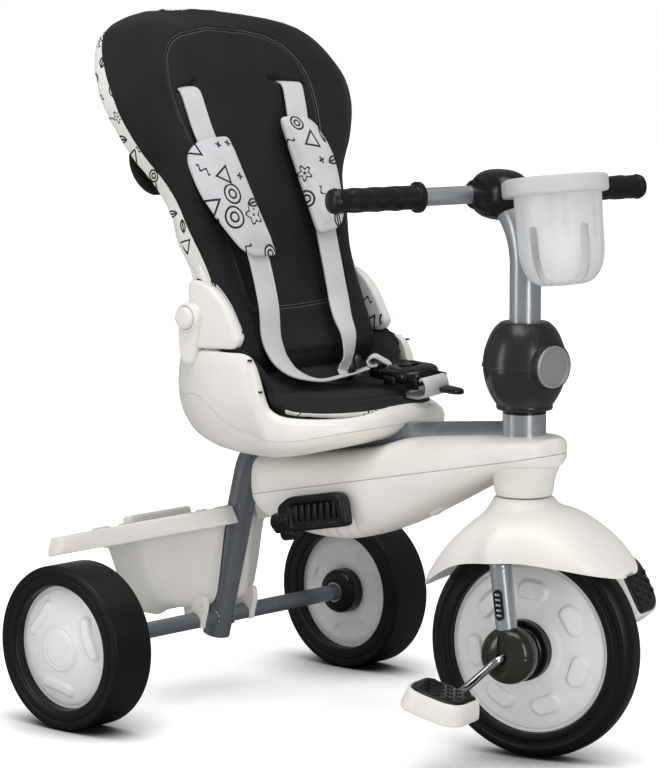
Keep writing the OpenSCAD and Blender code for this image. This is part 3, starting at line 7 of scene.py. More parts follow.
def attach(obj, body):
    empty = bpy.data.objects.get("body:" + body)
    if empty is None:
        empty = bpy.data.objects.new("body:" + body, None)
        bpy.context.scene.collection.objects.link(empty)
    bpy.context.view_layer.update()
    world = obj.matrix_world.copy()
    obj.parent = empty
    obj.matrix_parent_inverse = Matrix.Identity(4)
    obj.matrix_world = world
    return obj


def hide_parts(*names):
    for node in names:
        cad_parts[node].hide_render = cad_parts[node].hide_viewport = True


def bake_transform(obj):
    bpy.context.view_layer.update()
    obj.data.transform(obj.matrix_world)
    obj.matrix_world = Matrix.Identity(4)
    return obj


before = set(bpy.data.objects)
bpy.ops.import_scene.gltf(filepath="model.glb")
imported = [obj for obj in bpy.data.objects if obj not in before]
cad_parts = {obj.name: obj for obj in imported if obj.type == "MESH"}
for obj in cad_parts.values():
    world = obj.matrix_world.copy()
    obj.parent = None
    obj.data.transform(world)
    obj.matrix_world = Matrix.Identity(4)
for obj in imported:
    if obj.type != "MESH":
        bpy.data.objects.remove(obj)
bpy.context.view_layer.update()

# Main sizes in millimetres and degrees, as in the part's source
MIDDLE_X, STEER_X, RAKE = 215.4, 411, 13.5
FRONT_R, REAR_R, WHEEL_Y = 110, 84, 185
FORK_YAW, BAR_YAW, BACK_LEAN, LEG_LEAN, SEAM_LEAN = 12.3, -17.3, 22.5, 14.8, 11.3
BAR_X, BAR_Z, BALL_Z = -65, 546.8, 385.3
BEND_X, BEND_Z = 50, 279
SEAT_X, SEAT_LOW, SEAT_TALL, SEAT_SIDE = 130, 273.3, 108, 125
PAD_LONG, PAD_SIDE, PAD_TOP = 129, 114, 338
BACK_SIDE = 180
BIN_X, BIN_RIM, BIN_TIP, BIN_SLOPE = -34, 190.5, 14, 0.2493
SIDES = ((-1, "right"), (1, "left"))


def shift(x, y, z):
    return Matrix.Translation((x, y, z))


def turn(degrees, axis):
    return Matrix.Rotation(radians(degrees), 4, axis)


# Places of the trike's main frames. Pieces are drawn in millimetres and settled in metres.
MM = Matrix.Scale(0.001, 4)
TRIKE = MM @ shift(-MIDDLE_X, 0, 0)
STEER = TRIKE @ shift(STEER_X, 0, 0)
FORK = STEER @ turn(FORK_YAW, "Z")
BAR = STEER @ turn(BAR_YAW, "Z")
HUB = FORK @ shift(RAKE, 0, FRONT_R)
BACK = TRIKE @ shift(100.69, 0, 375.29) @ turn(-BACK_LEAN, "Y")


def beside(side, y):
    """Frame of a wheel on that side: X ahead, Z outwards from the plane at y."""
    return shift(0, side * y, 0) @ turn(-90 * side, "X")


# Small sums
def mix(a, b, t):
    return a + (b - a) * t


def ease(low, high, value):
    t = min(1, max(0, (value - low) / (high - low)))
    return t * t * (3 - 2 * t)


def bell(value, middle, spread):
    return exp(-((value - middle) / spread) ** 2)


def power(value, e):
    return (1 if value > 0 else -1) * abs(value) ** e


def grade(table, i):
    a, b = table[max(i - 1, 0)], table[min(i + 1, len(table) - 1)]
    return (b[1] - a[1]) / (b[0] - a[0])


def curve(t, table):
    """Smooth curve through a table of (place, value)."""
    i = 0
    while i < len(table) - 2 and t >= table[i + 1][0]:
        i += 1
    h = table[i + 1][0] - table[i][0]
    u, a, d = (t - table[i][0]) / h, table[i][1], table[i + 1][1] - table[i][1]
    p, q = grade(table, i) * h, grade(table, i + 1) * h
    return a + u * p + u * u * (3 * d - 2 * p - q) + u ** 3 * (p + q - 2 * d)


def rounded(corners, closed=True, steps=6):
    """Outline through corners (x, y, radius), each corner turned into an arc of the same point count."""
    points, n = [], len(corners)
    for i, (x, y, r) in enumerate(corners):
        if not closed and i in (0, n - 1):
            points.append((x, y))
            continue
        here = Vector((x, y))
        before = Vector(corners[i - 1][:2]) - here
        after = Vector(corners[(i + 1) % n][:2]) - here
        reach = min(r, before.length * 0.49, after.length * 0.49)
        a, b = here + before.normalized() * reach, here + after.normalized() * reach
        for k in range(steps + 1):
            t = k / steps
            p = a * (1 - t) ** 2 + here * (2 * t * (1 - t)) + b * t * t
            points.append((p.x, p.y))
    return points


def oblong(x0, y0, x1, y1, r, steps=6):
    return rounded([(x0, y0, r), (x1, y0, r), (x1, y1, r), (x0, y1, r)], steps=steps)


# Modelling steps
def pick(*obs):
    bpy.ops.object.select_all(action="DESELECT")
    for ob in obs:
        ob.select_set(True)
    bpy.context.view_layer.objects.active = obs[0]


def work(ob, kind, **values):
    """Adds a modifier with these values and applies it."""
    pick(ob)
    m = ob.modifiers.new(kind.title(), kind)
    for key, value in values.items():
        setattr(m, key, value)
    bpy.ops.object.modifier_apply(modifier=m.name)
    return ob


def edit(ob, step, **values):
    """Runs one edit step on the whole mesh."""
    pick(ob)
    bpy.ops.object.mode_set(mode="EDIT")
    bpy.ops.mesh.select_all(action="SELECT")
    step(**values)
    bpy.ops.object.mode_set(mode="OBJECT")


def close_up(ob, fill=True):
    """Merges the seam, fills the ends and turns the faces outwards."""
    pick(ob)
    bpy.ops.object.mode_set(mode="EDIT")
    bpy.ops.mesh.select_all(action="SELECT")
    bpy.ops.mesh.remove_doubles(threshold=0.002)
    if fill:
        bpy.ops.mesh.fill_holes(sides=0)
        bpy.ops.mesh.select_all(action="SELECT")
    bpy.ops.mesh.normals_make_consistent(inside=False)
    bpy.ops.object.mode_set(mode="OBJECT")
    return ob


def skin(name, shape, across, along, fill=True, cloth=None):
    """A grid laid over shape(u, v). Cloth gives the real size of its UV map."""
    bpy.ops.object.select_all(action="DESELECT")
    bpy.ops.mesh.primitive_grid_add(x_subdivisions=across, y_subdivisions=along, size=1)
    ob = bpy.context.object
    ob.name = ob.data.name = name
    for v in ob.data.vertices:
        v.co = shape(v.co.x + 0.5, v.co.y + 0.5)
    if cloth:
        for loop in ob.data.uv_layers.active.data:
            loop.uv = (loop.uv[0] * cloth[0], loop.uv[1] * cloth[1])
    return close_up(ob, fill)


def loft(name, rings, **kind):
    n, m = len(rings[0]), len(rings) - 1
    return skin(name, lambda u, v: rings[round(v * m)][round(u * n) % n], n, m, **kind)


def turned(name, profile, around=96):
    """A profile of (radius, height) turned about Z."""
    m = len(profile) - 1

    def shape(u, v):
        r, z = profile[round(v * m)]
        return r * cos(2 * pi * u), r * sin(2 * pi * u), z
    return skin(name, shape, around, m)


def lathe(name, corners, around):
    """A profile of corners (radius, height, rounding) turned about Z."""
    return turned(name, rounded(corners, closed=False), around)


def slab(name, outline, low, high, edge=0.0, segments=3):
    """An outline pulled up from low to high, with its edges rounded."""
    bpy.ops.object.select_all(action="DESELECT")
    bpy.ops.mesh.primitive_circle_add(vertices=len(outline), radius=1, fill_type="NGON")
    ob = bpy.context.object
    ob.name = ob.data.name = name
    for v, p in zip(ob.data.vertices, outline):
        v.co = (p[0], p[1], low)
    bpy.ops.object.mode_set(mode="EDIT")
    bpy.ops.mesh.select_all(action="SELECT")
    bpy.ops.mesh.extrude_region_move(TRANSFORM_OT_translate={"value": (0, 0, high - low)})
    bpy.ops.object.mode_set(mode="OBJECT")
    close_up(ob, fill=False)
    if edge:
        work(ob, "BEVEL", width=edge, segments=segments, limit_method="ANGLE", angle_limit=radians(38))
    return ob


def fin(name, outline, half, edge, segments, where):
    """An outline of (x, z) made into an upright plate."""
    ob = slab(name, [(x, -z) for x, z in outline], -half, half, edge, segments)
    return place(ob, where @ turn(-90, "X"))


def pipe(name, route, radius, around=20, closed=False):
    """A round rod along a route; radius may be a function of the share of the way."""
    route = [Vector(p) for p in route]
    m = len(route) - 1
    size = radius if callable(radius) else lambda t: radius
    up, rings = Vector((0.3, 0.2, 0.93)), []
    for i, p in enumerate(route):
        after, before = ((i + 1) % m, (i - 1) % m) if closed else (min(i + 1, m), max(i - 1, 0))
        ahead = (route[after] - route[before]).normalized()
        side = (up.cross(ahead)).normalized()
        up = ahead.cross(side)
        r = size(i / m)
        rings.append([p + side * r * cos(2 * pi * k / around) + up * r * sin(2 * pi * k / around)
                      for k in range(around)])
    if closed:
        rings[-1] = rings[0]
    return loft(name, rings)


def bent(points, radius, steps=8):
    """Route through points with each corner rounded."""
    points = [Vector(p) for p in points]
    route = [points[0]]
    for a, b, c in zip(points, points[1:], points[2:]):
        reach = min(radius, (a - b).length * 0.49, (c - b).length * 0.49)
        p, q = b + (a - b).normalized() * reach, b + (c - b).normalized() * reach
        for k in range(steps + 1):
            t = k / steps
            route.append(p * (1 - t) ** 2 + b * (2 * t * (1 - t)) + q * t * t)
    return route + [points[-1]]


def join(name, *obs):
    pick(*obs)
    bpy.ops.object.join()
    ob = bpy.context.object
    ob.name = ob.data.name = name
    return ob


def discard(*obs):
    for ob in obs:
        bpy.data.objects.remove(ob)


def cut(ob, tool):
    work(ob, "BOOLEAN", object=tool, operation="DIFFERENCE", solver="EXACT")
    discard(tool)
    return ob


def place(ob, matrix):
    ob.matrix_world = matrix
    pick(ob)
    bpy.ops.object.transform_apply(location=True, rotation=True, scale=True)
    return ob


def twin(ob, name, matrix):
    """A copy with its own mesh."""
    other = ob.copy()
    other.data = ob.data.copy()
    other.name = other.data.name = name
    bpy.context.collection.objects.link(other)
    return place(other, matrix)


def lay_flat(ob, across):
    """Lays the UV map out by two measures of each point."""
    data = ob.data
    for poly in data.polygons:
        for i in poly.loop_indices:
            data.uv_layers.active.data[i].uv = across(data.vertices[data.loops[i].vertex_index].co)


def fit(ob, finish, body, *stands_for, smooth=35):
    """Gives a settled piece its finish and body, and hides what it stands for."""
    pick(ob)
    bpy.ops.object.shade_smooth_by_angle(angle=radians(smooth))
    ob.data.materials.clear()
    ob.data.materials.append(finish)
    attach(ob, body)
    if stands_for:
        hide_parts(*stands_for)
    return ob


# Finishes
def tint(code):
    """Linear colour of a #rrggbb code."""
    parts = [int(code[i:i + 2], 16) / 255 for i in (1, 3, 5)]
    return tuple(c / 12.92 if c <= 0.04045 else ((c + 0.055) / 1.055) ** 2.4 for c in parts) + (1.0,)


def put(tree, kind, inputs=None, **settings):
    n = tree.nodes.new(kind)
    for key, value in settings.items():
        setattr(n, key, value)
    for key, value in (inputs or {}).items():
        if isinstance(value, bpy.types.NodeSocket):
            tree.links.new(value, n.inputs[key])
        else:
            n.inputs[key].default_value = value
    return n


def sums(tree, operation, a, b=0.0, c=0.0):
    return put(tree, "ShaderNodeMath", {0: a, 1: b, 2: c}, operation=operation).outputs[0]


def plus(tree, a, b):
    return sums(tree, "ADD", a, b)


def less(tree, a, b):
    return sums(tree, "SUBTRACT", a, b)


def times(tree, a, b):
    return sums(tree, "MULTIPLY", a, b)


def ramp(tree, value, low, high, first, last):
    """A value's range laid over another one."""
    return put(tree, "ShaderNodeMapRange", {0: value, 1: low, 2: high, 3: first, 4: last}).outputs[0]


def group(name, inputs, outputs):
    tree = bpy.data.node_groups.new(name, "ShaderNodeTree")
    for key, (kind, value) in inputs.items():
        s = tree.interface.new_socket(key, in_out="INPUT", socket_type="NodeSocket" + kind)
        if value is not None:
            s.default_value = value
    for key, kind in outputs.items():
        tree.interface.new_socket(key, in_out="OUTPUT", socket_type="NodeSocket" + kind)
    return tree, put(tree, "NodeGroupInput").outputs, put(tree, "NodeGroupOutput").inputs


def speckle(tree, vector, scale, detail=2.0, rough=0.5):
    return put(tree, "ShaderNodeTexNoise", {"Vector": vector, "Scale": scale, "Detail": detail,
                                            "Roughness": rough}).outputs["Fac"]


def moulded_grain():
    """Fine orange-peel and slow mottling of a moulded or painted skin."""
    tree, given, out = group("moulded grain", {"Vector": ("Vector", None), "Fine": ("Float", 900.0),
                                               "Slow": ("Float", 14.0)}, {"Height": "Float", "Tone": "Float"})
    fine = speckle(tree, given["Vector"], given["Fine"], 3.0)
    slow = speckle(tree, given["Vector"], given["Slow"], 4.0, 0.6)
    tree.links.new(fine, out["Height"])
    tree.links.new(plus(tree, times(tree, fine, 0.25), times(tree, slow, 0.75)), out["Tone"])
    return tree


def rubbed_edge():
    """Mask of edges that handling has rubbed, broken up by noise."""
    tree, given, out = group("rubbed edge", {"Vector": ("Vector", None), "Reach": ("Float", 0.06)},
                             {"Mask": "Float"})
    bend = put(tree, "ShaderNodeNewGeometry").outputs["Pointiness"]
    high = plus(tree, 0.5, given["Reach"])
    bare = ramp(tree, bend, 0.505, high, 0.0, 1.0)
    broken = speckle(tree, given["Vector"], 160.0, 5.0, 0.7)
    chips = ramp(tree, broken, 0.42, 0.68, 0.15, 1.0)
    tree.links.new(times(tree, bare, chips), out["Mask"])
    return tree


def fine_scuffs():
    """Mask of hairline marks that run mostly one way."""
    tree, given, out = group("fine scuffs", {"Vector": ("Vector", None), "Scale": ("Float", 60.0)},
                             {"Mask": "Float"})
    run = put(tree, "ShaderNodeMapping", {"Vector": given["Vector"], "Rotation": (0.5, 0.3, 0.7),
                                          "Scale": (1, 14, 6)})
    lines = speckle(tree, run.outputs[0], given["Scale"], 3.0, 0.65)
    tree.links.new(ramp(tree, lines, 0.62, 0.78, 0.0, 1.0), out["Mask"])
    return tree


def settled_dust():
    """Mask of dust: on faces that look up and near the ground."""
    tree, given, out = group("settled dust", {"Vector": ("Vector", None), "Top": ("Float", 0.2)}, {"Mask": "Float"})
    up = put(tree, "ShaderNodeSeparateXYZ", {0: put(tree, "ShaderNodeNewGeometry").outputs["Normal"]}).outputs[2]
    z = put(tree, "ShaderNodeSeparateXYZ", {0: given["Vector"]}).outputs[2]
    low = ramp(tree, z, given["Top"], 0.0, 0.0, 1.0)
    facing = ramp(tree, up, 0.2, 1.0, 0.15, 1.0)
    cloud = ramp(tree, speckle(tree, given["Vector"], 45.0, 6.0, 0.65), 0.4, 0.75, 0.0, 1.0)
    tree.links.new(times(tree, times(tree, low, facing), cloud), out["Mask"])
    return tree


def plain_weave():
    """Over-and-under threads of a cloth, on real thread counts per unit."""
    tree, given, out = group("plain weave", {"Vector": ("Vector", None), "Across": ("Float", 1.0),
                                             "Along": ("Float", 1.0)}, {"Height": "Float", "Gap": "Float"})
    xyz = put(tree, "ShaderNodeSeparateXYZ", {0: given["Vector"]}).outputs
    a = sums(tree, "SINE", times(tree, times(tree, xyz[0], given["Across"]), 2 * pi))
    b = sums(tree, "SINE", times(tree, times(tree, xyz[1], given["Along"]), 2 * pi))
    over = times(tree, a, b)
    height = plus(tree, 0.5, times(tree, over, 0.5))
    tree.links.new(height, out["Height"])
    tree.links.new(times(tree, sums(tree, "ABSOLUTE", a), sums(tree, "ABSOLUTE", b)), out["Gap"])
    return tree


GRAIN, EDGE, SCUFF, DUST, WEAVE = moulded_grain(), rubbed_edge(), fine_scuffs(), settled_dust(), plain_weave()


def use(tree, which, **inputs):
    """Places a node group with these inputs."""
    return put(tree, "ShaderNodeGroup", inputs, node_tree=which).outputs


def blank(name, slot):
    m = bpy.data.materials.new(name)
    m.use_nodes = True
    m["slot"] = slot
    tree = m.node_tree
    return m, tree, tree.nodes["Principled BSDF"]


def blend_tint(tree, factor, a, b):
    return put(tree, "ShaderNodeMix", {0: factor, 6: a, 7: b}, data_type="RGBA").outputs[2]


def moulded(name, slot, colour, rough=0.38, fine=900.0, bump=0.00004, light=None, worn=0.25, dusty=0.0, top=0.2,
            **sockets):
    """Moulded plastic, paint or rubber: mottled colour, grain, rubbed edges, scuffs and dust."""
    m, tree, shader = blank(name, slot)
    here = put(tree, "ShaderNodeTexCoord").outputs["Object"]
    grain = use(tree, GRAIN, Vector=here, Fine=fine)
    base = tint(colour)
    deep = tuple(c * 0.93 for c in base[:3]) + (1.0,)
    pale = tint(light) if light else tuple(min(1, c * 1.18 + 0.01) for c in base[:3]) + (1.0,)
    tone = ramp(tree, grain["Tone"], 0.36, 0.58, 0.0, 1.0)
    shade = blend_tint(tree, tone, deep, base)
    rub = times(tree, use(tree, EDGE, Vector=here)["Mask"], worn)
    shade = blend_tint(tree, rub, shade, pale)
    scuff = use(tree, SCUFF, Vector=here)["Mask"]
    roughness = plus(tree, rough, times(tree, grain["Tone"], 0.12))
    roughness = plus(tree, roughness, times(tree, scuff, 0.06))
    if dusty:
        dust = times(tree, use(tree, DUST, Vector=here, Top=top)["Mask"], dusty)
        shade = blend_tint(tree, dust, shade, tint("#b9b2a6"))
        roughness = plus(tree, roughness, times(tree, dust, 0.4))
    tree.links.new(shade, shader.inputs["Base Color"])
    tree.links.new(roughness, shader.inputs["Roughness"])
    bumps = put(tree, "ShaderNodeBump", {"Height": grain["Height"], "Strength": 0.35, "Distance": bump})
    tree.links.new(bumps.outputs[0], shader.inputs["Normal"])
    for key, value in sockets.items():
        shader.inputs[key.replace("_", " ")].default_value = value
    return m


white_plastic = moulded("white_plastic", "white_plastic", "#dedbd5", rough=0.27, light="#eceae6", dusty=0.1)
pale_plastic = moulded("pale_plastic", "pale_plastic", "#dbdcda", rough=0.22, light="#e8e9e7", dusty=0.12)
black_plastic = moulded("black_plastic", "black_plastic", "#0e0e0e", rough=0.2, light="#2c2c2b", fine=700.0,
                        Specular_IOR_Level=0.4)
dark_plastic = moulded("dark_plastic", "dark_plastic", "#232322", rough=0.22, light="#474745", fine=700.0,
                       worn=0.06)
fork_plastic = moulded("fork_plastic", "dark_plastic", "#24231e", rough=0.14, light="#403f39", fine=700.0)
grip_rubber = moulded("grip_rubber", "grip", "#101010", rough=0.28, fine=420.0, bump=0.0002, light="#333333",
                      Specular_IOR_Level=0.4)
tyre_rubber = moulded("tyre_rubber", "tyre", "#0a0a0b", rough=0.32, fine=600.0, bump=0.00008, light="#1a1a1c",
                      dusty=0.03, top=0.12, Specular_IOR_Level=0.32)
silver_plastic = moulded("silver_plastic", "silver_button", "#9a9b9c", rough=0.26, light="#c4c5c6", Metallic=0.45)
painted_steel = moulded("painted_steel", "painted_steel", "#7f848b", rough=0.24, fine=1500.0, bump=0.00002,
                        light="#a2a6ac", Metallic=0.68, Coat_Weight=0.15, Coat_Roughness=0.2)
bar_steel = moulded("bar_steel", "painted_steel", "#b0b4b9", rough=0.24, fine=1500.0, bump=0.00002, light="#c9ccd0",
                    Metallic=0.68, Coat_Weight=0.15, Coat_Roughness=0.2)
bright_steel = moulded("bright_steel", "bright_steel", "#c6c8cb", rough=0.1, fine=1200.0, bump=0.00001,
                       light="#e4e5e7", Metallic=1.0)
cup_plastic = moulded("cup_plastic", "cup_plastic", "#f0f1f2", rough=0.3, light="#f6f6f6", worn=0.1,
                      Transmission_Weight=0.55, IOR=1.25)


# Camera, light and floor
def set_stage():
    camera = bpy.data.cameras.new("camera")
    camera.sensor_width = 36
    camera.lens = 178.125
    eye = bpy.data.objects.new("camera", camera)
    eye.location = (2.5171, -2.8268, 0.8546)
    eye.rotation_euler = (radians(82.39), 0, radians(42.36))
    camera.clip_end = 60
    bpy.context.collection.objects.link(eye)
    scene = bpy.context.scene
    scene.camera = eye
    scene.view_settings.view_transform = "Standard"

    world = bpy.data.worlds.new("studio")
    scene.world = world
    world.use_nodes = True
    tree = world.node_tree
    ray = put(tree, "ShaderNodeLightPath").outputs
    seen = sums(tree, "MAXIMUM", ray["Is Camera Ray"], ray["Is Transmission Ray"])
    mirrored = less(tree, 1.0, times(tree, ray["Is Glossy Ray"], 0.62))
    lamp = tree.nodes["Background"]
    lamp.inputs["Color"].default_value = (1, 1, 1, 1)
    strength = put(tree, "ShaderNodeMapRange", {0: seen, 3: 0.62, 4: 1.0}).outputs[0]
    tree.links.new(times(tree, strength, mirrored), lamp.inputs["Strength"])

    def softbox(name, at, to, size, watts):
        data = bpy.data.lights.new(name, "AREA")
        data.shape, data.size, data.size_y, data.energy = "RECTANGLE", size[0], size[1], watts
        ob = bpy.data.objects.new(name, data)
        ob.location = at
        ob.rotation_euler = (Vector(to) - Vector(at)).to_track_quat("-Z", "Y").to_euler()
        bpy.context.collection.objects.link(ob)
    softbox("softbox_over", (0.3, -0.5, 2.6), (0, 0, 0.3), (1.8, 1.8), 34)
    softbox("softbox_right", (2.4, -1.0, 0.9), (0.1, 0, 0.6), (0.4, 1.7), 17)
    softbox("softbox_left", (-1.2, -2.4, 0.92), (0, 0, 0.6), (0.3, 1.75), 12)

    bpy.ops.object.select_all(action="DESELECT")
    bpy.ops.mesh.primitive_plane_add(size=14, location=(0, 0, -0.0004))
    floor = bpy.context.object
    floor.name = "floor"
    pick(floor)
    bpy.ops.object.transform_apply(location=True)
    paper, tree, shader = blank("floor_paper", "white_plastic")
    here = put(tree, "ShaderNodeTexCoord").outputs["Object"]
    tree.links.new(plus(tree, 0.7, times(tree, speckle(tree, here, 30.0), 0.2)), shader.inputs["Roughness"])
    shader.inputs["Specular IOR Level"].default_value = 0.1
    ray = put(tree, "ShaderNodeLightPath").outputs
    seen = sums(tree, "MAXIMUM", ray["Is Camera Ray"], ray["Is Transmission Ray"])
    shader.inputs["Emission Color"].default_value = (1, 1, 1, 1)
    # the paper glows a little away from the trike, so it runs into the white background
    far = put(tree, "ShaderNodeVectorMath", {0: here}, operation="LENGTH").outputs["Value"]
    glow = ramp(tree, far, 0.35, 1.1, 0.5, 0.7)
    # painted shadow: the paper's colour and glow are darkened by ambient occlusion where something stands on it
    near = put(tree, "ShaderNodeAmbientOcclusion", {"Distance": 0.1}, samples=8).outputs["AO"]
    clear = ramp(tree, near, 0.3, 0.97, 0.0, 1.0)
    # painted reflection: seen in glossy rays the paper's colour drops from 0.9 to 0.22, so its reflections are
    # painted dark
    tree.links.new(blend_tint(tree, clear, (0.05, 0.05, 0.05, 1),
                              blend_tint(tree, ray["Is Glossy Ray"], (0.9, 0.9, 0.9, 1), (0.22, 0.22, 0.22, 1))),
                   shader.inputs["Base Color"])
    glow = times(tree, glow, clear)
    tree.links.new(times(tree, seen, glow), shader.inputs["Emission Strength"])
    floor.data.materials.append(paper)


set_stage()


# Wheels
def oblong_edge(x, y, length, width):
    """Distance outside an oblong that lies along x."""
    return hypot(max(abs(x) - (length - width) / 2, 0), y) - width / 2


def disc(name, radius, face, back, relief, rear, rows=70, around=224):
    """A moulded wheel disc: relief on its face, a rim wall and a plainer rear."""
    def shape(u, v):
        a = 2 * pi * u
        if v < 0.66:
            r = radius * v / 0.66
            return r * cos(a), r * sin(a), face + relief(r, a)
        if v < 0.7:
            return radius * cos(a), radius * sin(a), mix(face, back, (v - 0.66) / 0.04)
        r = radius * (1 - v) / 0.3
        return r * cos(a), r * sin(a), back - rear(r, a)
    return skin(name, shape, around, rows)


def raised(r, a, count, first, middle, slope, bow, length, width):
    """Share of the height of bowed oblong pads that stand in a ring."""
    z = 0
    for k in range(count):
        t = a - radians(first + 360 / count * k)
        x, y = -r * sin(t), r * cos(t) - middle
        z += ease(0.6, slope, oblong_edge(x, y + bow * x * x, length, width))
    return z


def rear_wheels():
    tyre = lathe("rear_tyre", [(63, 24, 0), (63, 0, 3), (74, 0, 0.4), (75, 0.9, 0.4), (76, 0, 0.4), (84, 0, 7.5),
                               (84, 51, 7.5), (76, 51, 0.4), (75.2, 50.2, 0.4), (74.2, 50.2, 0.4), (73.4, 51, 0.4),
                               (63, 51, 5), (63, 24, 0)], 144)

    def face(r, a):
        z = 9.5 * (1 - (r / 62.95) ** 2) + 2.4 * ease(25.5, 22, r)
        z -= 0.9 * bell(r, 20, 1.1) + 0.8 * bell(r, 59.5, 0.9)
        return z + 2.8 * raised(r, a, 3, 20, 40, -2.8, -0.004, 46, 13)

    def rear(r, a):
        return 1.6 * ease(58, 56, r) - 1.6 * ease(28, 25, r) - 2.6 * raised(r, a, 3, 80, 41, -2.8, -0.004, 46, 13)
    plate = disc("rear_disc", 62.95, 39, 12, face, rear)
    hub = lathe("rear_hub", [(5.2, 30, 0), (24, 30, 0), (24, -1, 3), (21, -6, 5), (13, -9.4, 3), (12.2, -9.6, 0.6),
                             (12.2, -3, 0.5), (5.2, -2.6, 0), (5.2, 30, 0)], 72)
    ferrule = lathe("rear_ferrule", [(8.7, 1, 0), (8.7, -9, 0.6), (11.5, -9, 1.2), (11.5, -1, 0.8), (11.5, 1, 0),
                                     (8.7, 1, 0)], 56)
    for side, word in SIDES:
        at = TRIKE @ shift(0, 0, REAR_R) @ beside(side, WHEEL_Y)
        body = "rear_wheel_" + word
        fit(twin(tyre, "rear_tyre_" + word + "_rubber", at), tyre_rubber, body, "rear_tyre_" + word)
        fit(twin(plate, "rear_disc_" + word + "_face", at), pale_plastic, body, "rear_disc_" + word)
        fit(twin(hub, "rear_hub_" + word + "_core", at), black_plastic, body, "rear_hub_" + word)
        fit(twin(ferrule, "axle_ferrule_" + word, at), bright_steel, "frame")
    discard(tyre, plate, hub, ferrule)


def front_wheel():
    tyre = lathe("front_tyre_rubber", [(85, 0, 0), (85, -17, 3.5), (91, -17, 1), (93, -15.6, 1), (98, -15.6, 1),
                                       (99.5, -17, 0.8), (104, -16.4, 2.5), (110, -9.5, 7), (110, 9.5, 7),
                                       (104, 16.4, 2.5), (99.5, 17, 0.8), (98, 15.6, 1), (93, 15.6, 1), (91, 17, 1),
                                       (85, 17, 3.5), (85, 0, 0)], 168)
    at = HUB @ turn(90, "X")
    fit(place(tyre, at), tyre_rubber, "front_wheel", "front_tyre")

    def face(r, a):
        z = 12 * min(1, (84.95 - r) / 55) + 1.2 * ease(39, 36, r) - 0.7 * bell(r, 81.5, 0.9)
        return z + 3.3 * raised(r, a, 7, 84.8, 58, -2.4, 0.004, 33, 19)
    for side, word in SIDES:
        plate = disc("front_disc_" + word + "_face", 84.95, 10, 4, face, lambda r, a: 0, rows=90)
        fit(place(plate, HUB @ beside(side, 0)), pale_plastic, "front_wheel", "front_disc_" + word)
    hub = lathe("front_hub_core", [(4.3, -35, 0), (22, -35, 2), (24, -33, 1), (30, -33, 2), (30, -8, 0), (30, 8, 0),
                                   (30, 33, 2), (24, 33, 1), (22, 35, 2), (4.3, 35, 0), (4.3, -35, 0)], 80)
    fit(place(hub, at), black_plastic, "front_wheel", "front_hub")


rear_wheels()
front_wheel()


# Crank and pedals
def crank_pin(side):
    s = 1 if side < 0 else -1
    return Vector((64 * s * cos(radians(222)), 0, 64 * s * sin(radians(222))))


def crank_rod():
    right, left = crank_pin(-1), crank_pin(1)
    route = [right + Vector((0, -134, 0)), right + Vector((0, -76, 0)), (0, -76, 0), (0, 76, 0),
             left + Vector((0, 76, 0)), left + Vector((0, 134, 0))]
    fit(place(pipe("crank_rod", bent(route, 13), 4, 28), HUB), bright_steel, "front_wheel", "crank")


def pedal_outline(inset):
    w, l = 34 - inset, 58 - inset
    return rounded([(-w, 81 + inset, 7), (w, 81 + inset, 7), (w, 81 + l, 25 - inset * 0.6),
                    (-w, 81 + l, 25 - inset * 0.6)], steps=12)


def pedals():
    levels = [(10, -10.2), (3.4, -10.2), (1, -9.4), (0, -7.4), (0.6, -2), (2.0, 6), (2.8, 10.6), (3.6, 11.8),
              (4.8, 11.8), (5.4, 11), (5.6, 8), (14, 8)]
    body = loft("pedal", [[(x, y, z) for x, y in pedal_outline(i)] for i, z in levels])
    tread_levels = [(5.8, 9), (5.8, 12.2), (6.4, 13.2), (7.4, 13.6), (16, 13.9)]
    tread = loft("tread", [[(x, y, z) for x, y in pedal_outline(i)] for i, z in tread_levels])
    stud = lathe("stud", [(0, 13, 0), (3.4, 13, 0), (3.1, 15, 0.9), (0, 15.2, 0)], 14)
    studs = []
    for j, y in enumerate((93, 102, 111, 120, 128)):
        for i in range(-2, 3):
            x = i * 9.6 + (4.8 if j % 2 else 0)
            if hypot(max(abs(x) - 8, 0), max(y - 112, 0)) < 17.5 and abs(x) < 23:
                studs.append(twin(stud, "stud", shift(x, y, 0)))
    tread = join("tread", tread, *studs)
    for side, word, pitch in ((-1, "right", 15), (1, "left", 62)):
        at = HUB @ shift(*crank_pin(side)) @ turn(pitch, "Y")
        if side < 0:
            at = at @ turn(180, "Z")
        name = "pedal_" + word
        fit(twin(body, name + "_body", at), white_plastic, name, name)
        fit(twin(tread, name + "_studs", at), black_plastic, name, name + "_tread", smooth=45)
    discard(body, tread, stud)


crank_rod()
pedals()


# Fork and mudguard
def fork_ends():
    def shape(u, v):
        a, t = 2 * pi * u, mix(-1, 1, v)
        y = 17.5 * power(sin(t * pi / 2), 0.78) if t else 0
        r = max(4.4, 28.4 * max(0, cos(t * pi / 2)) ** 0.72)
        if abs(sin(a)) < 0.002 and abs(t) < 0.8:
            r -= 0.55
        return r * cos(a), y, r * sin(a)
    for side, word in SIDES:
        ball = skin("fork_end_" + word + "_housing", shape, 128, 44)
        slot = slab("slot", rounded([(-5.5, -7, 5), (5.5, -7, 5), (5.5, 32, 1), (-5.5, 32, 1)]), 13.2, 30)
        place(slot, turn(90, "X") if side < 0 else turn(90, "X") @ Matrix.Scale(-1, 4, (0, 0, 1)))
        close_up(slot, fill=False)
        cut(ball, slot)
        fit(place(ball, FORK @ shift(RAKE, side * 54, FRONT_R)), fork_plastic, "fork", "fork_end_" + word,
            smooth=28)


